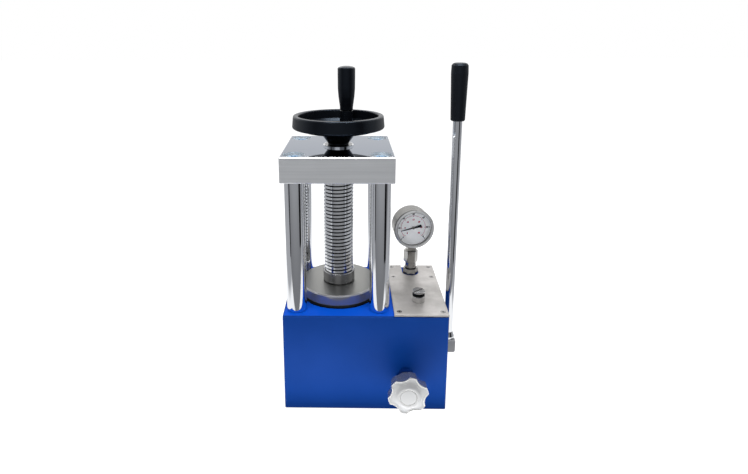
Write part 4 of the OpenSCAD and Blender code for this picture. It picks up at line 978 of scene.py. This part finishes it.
n = len(outline)
points = [on_pointer(x, y, POINTER_LIFT) for x, y in outline]
points += [on_pointer(x, y, POINTER_LIFT + BLADE_THICK) for x, y in outline]
faces = [tuple(range(n)), tuple(reversed(range(n, 2 * n)))]
faces += [(i, i + n, (i + 1) % n + n, (i + 1) % n) for i in range(n)]
pointer = add_piece("pointer_blade", points, faces, pointer_black, "pointer")
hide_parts("gauge_pointer")
print("pointer:", n, "corners")

# %% [markdown]
# ## Cap of the pointer
# A small cap of pale metal holds the pointer on its spindle. It is turned like the knob's cap and laid
# over to the dial's own directions.

# %% Shape the pointer's cap
HUB_STEPS = 48
hub_profile = [(0.0, -0.4), (2.3, -0.4), (2.3, 2.4), (1.9, 2.9), (0.0, 3.1)]  # radius, height
points, faces = turn_profile([(r * MM, z * MM) for r, z in hub_profile], HUB_STEPS)
points = [on_dial(x, y) + OUTWARD * z for x, y, z in points]
add_piece("pointer_cap", points, faces, fitting_steel, "pointer")
print("pointer cap:", len(faces), "faces")

# %% [markdown]
# ## Studio
# Chrome has no colour of its own, so the room is part of the picture. The photograph's columns show a
# grey room in the middle, bright bands at both sides and a black line between them, and the grey runs
# to a point at the foot. A picture of a real room is the usual way to light metal. Here a few soft runs
# of grey do, and need no file: the room is grey in front, white behind and dark above. The camera itself
# sees plain white all round, so that the press stands clear from every side.

# %% World
ROOM_FRONT = (0.20, 0.205, 0.215)
ROOM_BACK = (1.0, 1.0, 1.0)
ROOM_ABOVE = (0.14, 0.145, 0.16)
world = bpy.data.worlds.new("studio")
scene.world = world
world.use_nodes = True
tree = world.node_tree
toward = coordinates(tree, "Generated")
behind = ramp(tree, toward["Y"], start=-0.45, end=0.1)
above = ramp(tree, toward["Z"], start=0.5, end=0.9)
room = blend(tree, above, blend(tree, behind, ROOM_FRONT, ROOM_BACK), ROOM_ABOVE)
seen = add(tree, "ShaderNodeLightPath").outputs["Is Camera Ray"]
feed(tree, tree.nodes["Background"], Color=blend(tree, seen, room, ROOM_BACK))
print("world:", world.name)

# %% [markdown]
# ## Table and floor
# A white table whose front edge lies close to the press gives the columns their pointed grey: high on a
# column the mirrored look passes over the edge into the room, low down it lands on the table. The edge
# runs a little aslant, and the table widens to the back. Table and room floor are one large plane, and
# masks worked out from the place tell its zones apart, because edges of real boards would show.

# %% Measure the zones
TABLE_FRONT = 0.31
EDGE_SLANT = 0.10
EDGE_SOFT = 0.01
SIDE_AT = 0.38
SIDE_SPREAD = 0.15
SIDE_SOFT = 0.07
FAR_START, FAR_END = 0.1, 0.8
floor_paint, tree, shader = new_material("pale floor")
spot = coordinates(tree)
slanted = calc(tree, "MULTIPLY", spot["X"], EDGE_SLANT)
past_front = calc(tree, "SUBTRACT", calc(tree, "SUBTRACT", slanted, spot["Y"]), TABLE_FRONT)
widening = calc(tree, "MULTIPLY", spot["Y"], SIDE_SPREAD)
aside = calc(tree, "SUBTRACT", calc(tree, "ABSOLUTE", spot["X"]), widening)
in_front = ramp(tree, past_front, 0.0, EDGE_SOFT)
on_side = ramp(tree, aside, SIDE_AT, SIDE_AT + SIDE_SOFT)
far_off = ramp(tree, past_front, FAR_START, FAR_END)
print("zones: table, sides, room and far room")

# %% [markdown]
# ## What the floor gives off
# Each zone shines with the light that mirrors should find there, and has a ground that the lamps light:
# pale paper on the table, dark carpet off it. The camera must see even white instead, so a Light Path
# node gives it values of its own.

# %% Colour the zones
GLOW_SEEN = (0.95, 0.95, 0.95)
GLOW_TABLE = (0.70, 0.70, 0.70)
GLOW_SIDE = (0.36, 0.365, 0.38)
GLOW_ROOM = (0.14, 0.143, 0.15)
GLOW_FAR = (0.27, 0.275, 0.285)
PAPER = (0.28, 0.28, 0.28)
CARPET = (0.05, 0.05, 0.052)
seen = add(tree, "ShaderNodeLightPath").outputs["Is Camera Ray"]
table = blend(tree, on_side, GLOW_TABLE, GLOW_SIDE)
room = blend(tree, far_off, GLOW_ROOM, GLOW_FAR)
glow = blend(tree, in_front, table, room)
ground = blend(tree, calc(tree, "MAXIMUM", in_front, on_side), PAPER, CARPET)
feed(tree, shader, Emission_Color=blend(tree, seen, glow, GLOW_SEEN), Emission_Strength=1.0)
feed(tree, shader, Base_Color=blend(tree, seen, ground, PAPER), Roughness=0.8, Specular_IOR_Level=0.0)
print("finish:", floor_paint.name)

# %% [markdown]
# ## Laying the floor
# The floor and the flags after it are flat sheets, one face each. They belong to the studio and ride on
# no body of the press. The floor lies a hair below the base, where the two cannot flicker through each
# other.

# %% Lay the floor
FLOOR_HALF = 12.0
FLOOR_Z = -0.2 * MM


def panel(name, corners, finish):
    """A flat sheet of the studio, which is no piece of the press."""
    mesh = bpy.data.meshes.new(name)
    mesh.from_pydata(corners, [], [(0, 1, 2, 3)])
    mesh.materials.append(finish)
    made = bpy.data.objects.new(name, mesh)
    scene.collection.objects.link(made)
    return made


square = [(-1, -1), (1, -1), (1, 1), (-1, 1)]
floor = panel("floor", [(FLOOR_HALF * x, FLOOR_HALF * y, FLOOR_Z) for x, y in square], floor_paint)
print("floor:", floor.name)

# %% [markdown]
# ## Flags
# The black lines in the chrome come from two dark panels outside the picture, a broad one at the right
# and a narrow one at the left. They could be dark patches of the world, but panels that stand on the
# floor end there, as real ones do. They are hidden from the camera, so they only show in the metal.

# %% Black flags
FLAG_TOP = 0.55
FLAG_BLACK = (0.004, 0.004, 0.005)
flag_black, tree, shader = new_material("flag black")
feed(tree, shader, Base_Color=FLAG_BLACK, Roughness=0.9, Specular_IOR_Level=0.0)


def flag(name, start, end):
    corners = [(*start, 0.0), (*end, 0.0), (*end, FLAG_TOP), (*start, FLAG_TOP)]
    panel(name, corners, flag_black).visible_camera = False


flag("flag_right", start=(0.40, -0.43), end=(0.53, -0.265))
flag("flag_left", start=(-0.52, -0.33), end=(-0.465, -0.40))
print("flags: 2")

# %% [markdown]
# ## Lights
# Three large soft lamps stand behind, above and in front, as in a tent of white cloth; large ones make
# soft shadows. A fourth lies on the table and shines up at the front wall, in place of the light that
# the white table throws back. It is hidden from camera and mirrors, so only paint and plastic feel it.

# %% Lights
CENTRE = Vector((0.03, 0.0, 0.22))


def soft_light(name, place_at, size, power):
    lamp = bpy.data.lights.new(name, "AREA")
    lamp.shape = "RECTANGLE"
    lamp.size, lamp.size_y = size
    lamp.energy = power
    made = bpy.data.objects.new(name, lamp)
    made.location = place_at
    made.rotation_euler = (CENTRE - Vector(place_at)).to_track_quat("-Z", "Y").to_euler()
    scene.collection.objects.link(made)
    return made


soft_light("back_top", (0.1, 1.1, 1.5), size=(2.0, 1.0), power=12)
soft_light("top_front", (0.05, -0.42, 1.85), size=(1.2, 0.4), power=33)
soft_light("front_fill", (-0.2, -1.7, 1.0), size=(1.2, 0.8), power=2)
table_glow = soft_light("table_glow", (0.06, -0.18, 0.002), size=(0.5, 0.11), power=0.9)
table_glow.rotation_euler = (math.pi, 0, 0)
table_glow.visible_camera = False
table_glow.visible_glossy = False
print("lights: 4")

# %% [markdown]
# ## Camera
# The camera stands where the photograph was taken: a little higher than the press, looking slightly
# down. The shift keeps uprights in their true lean while the press sits low in the picture.

# %% Camera
IMAGE_W, IMAGE_H = 748, 474
FOCAL_PX = 517.72
LOOK_AT_PX = (341.35, 151.15)
SENSOR = 36.0
CAMERA_AT = (0.01888, -0.72835, 0.52103)
CAMERA_TILT, CAMERA_ROLL, CAMERA_TURN = 77.667, 0.194, 1.116
camera_data = bpy.data.cameras.new("camera")
camera_data.sensor_width = SENSOR
camera_data.lens = FOCAL_PX / IMAGE_W * SENSOR
camera_data.shift_x = (IMAGE_W / 2 - LOOK_AT_PX[0]) / IMAGE_W
camera_data.shift_y = (LOOK_AT_PX[1] - IMAGE_H / 2) / IMAGE_W
camera = bpy.data.objects.new("camera", camera_data)
camera.location = CAMERA_AT
camera.rotation_euler = [math.radians(angle) for angle in (CAMERA_TILT, CAMERA_ROLL, CAMERA_TURN)]
scene.collection.objects.link(camera)
scene.camera = camera
scene.view_settings.view_transform = "Standard"
print("camera at", CAMERA_AT)

# %% [markdown]
# ## End
# The view layer is brought up to date once more, and the scene is complete.

# %% End
bpy.context.view_layer.update()
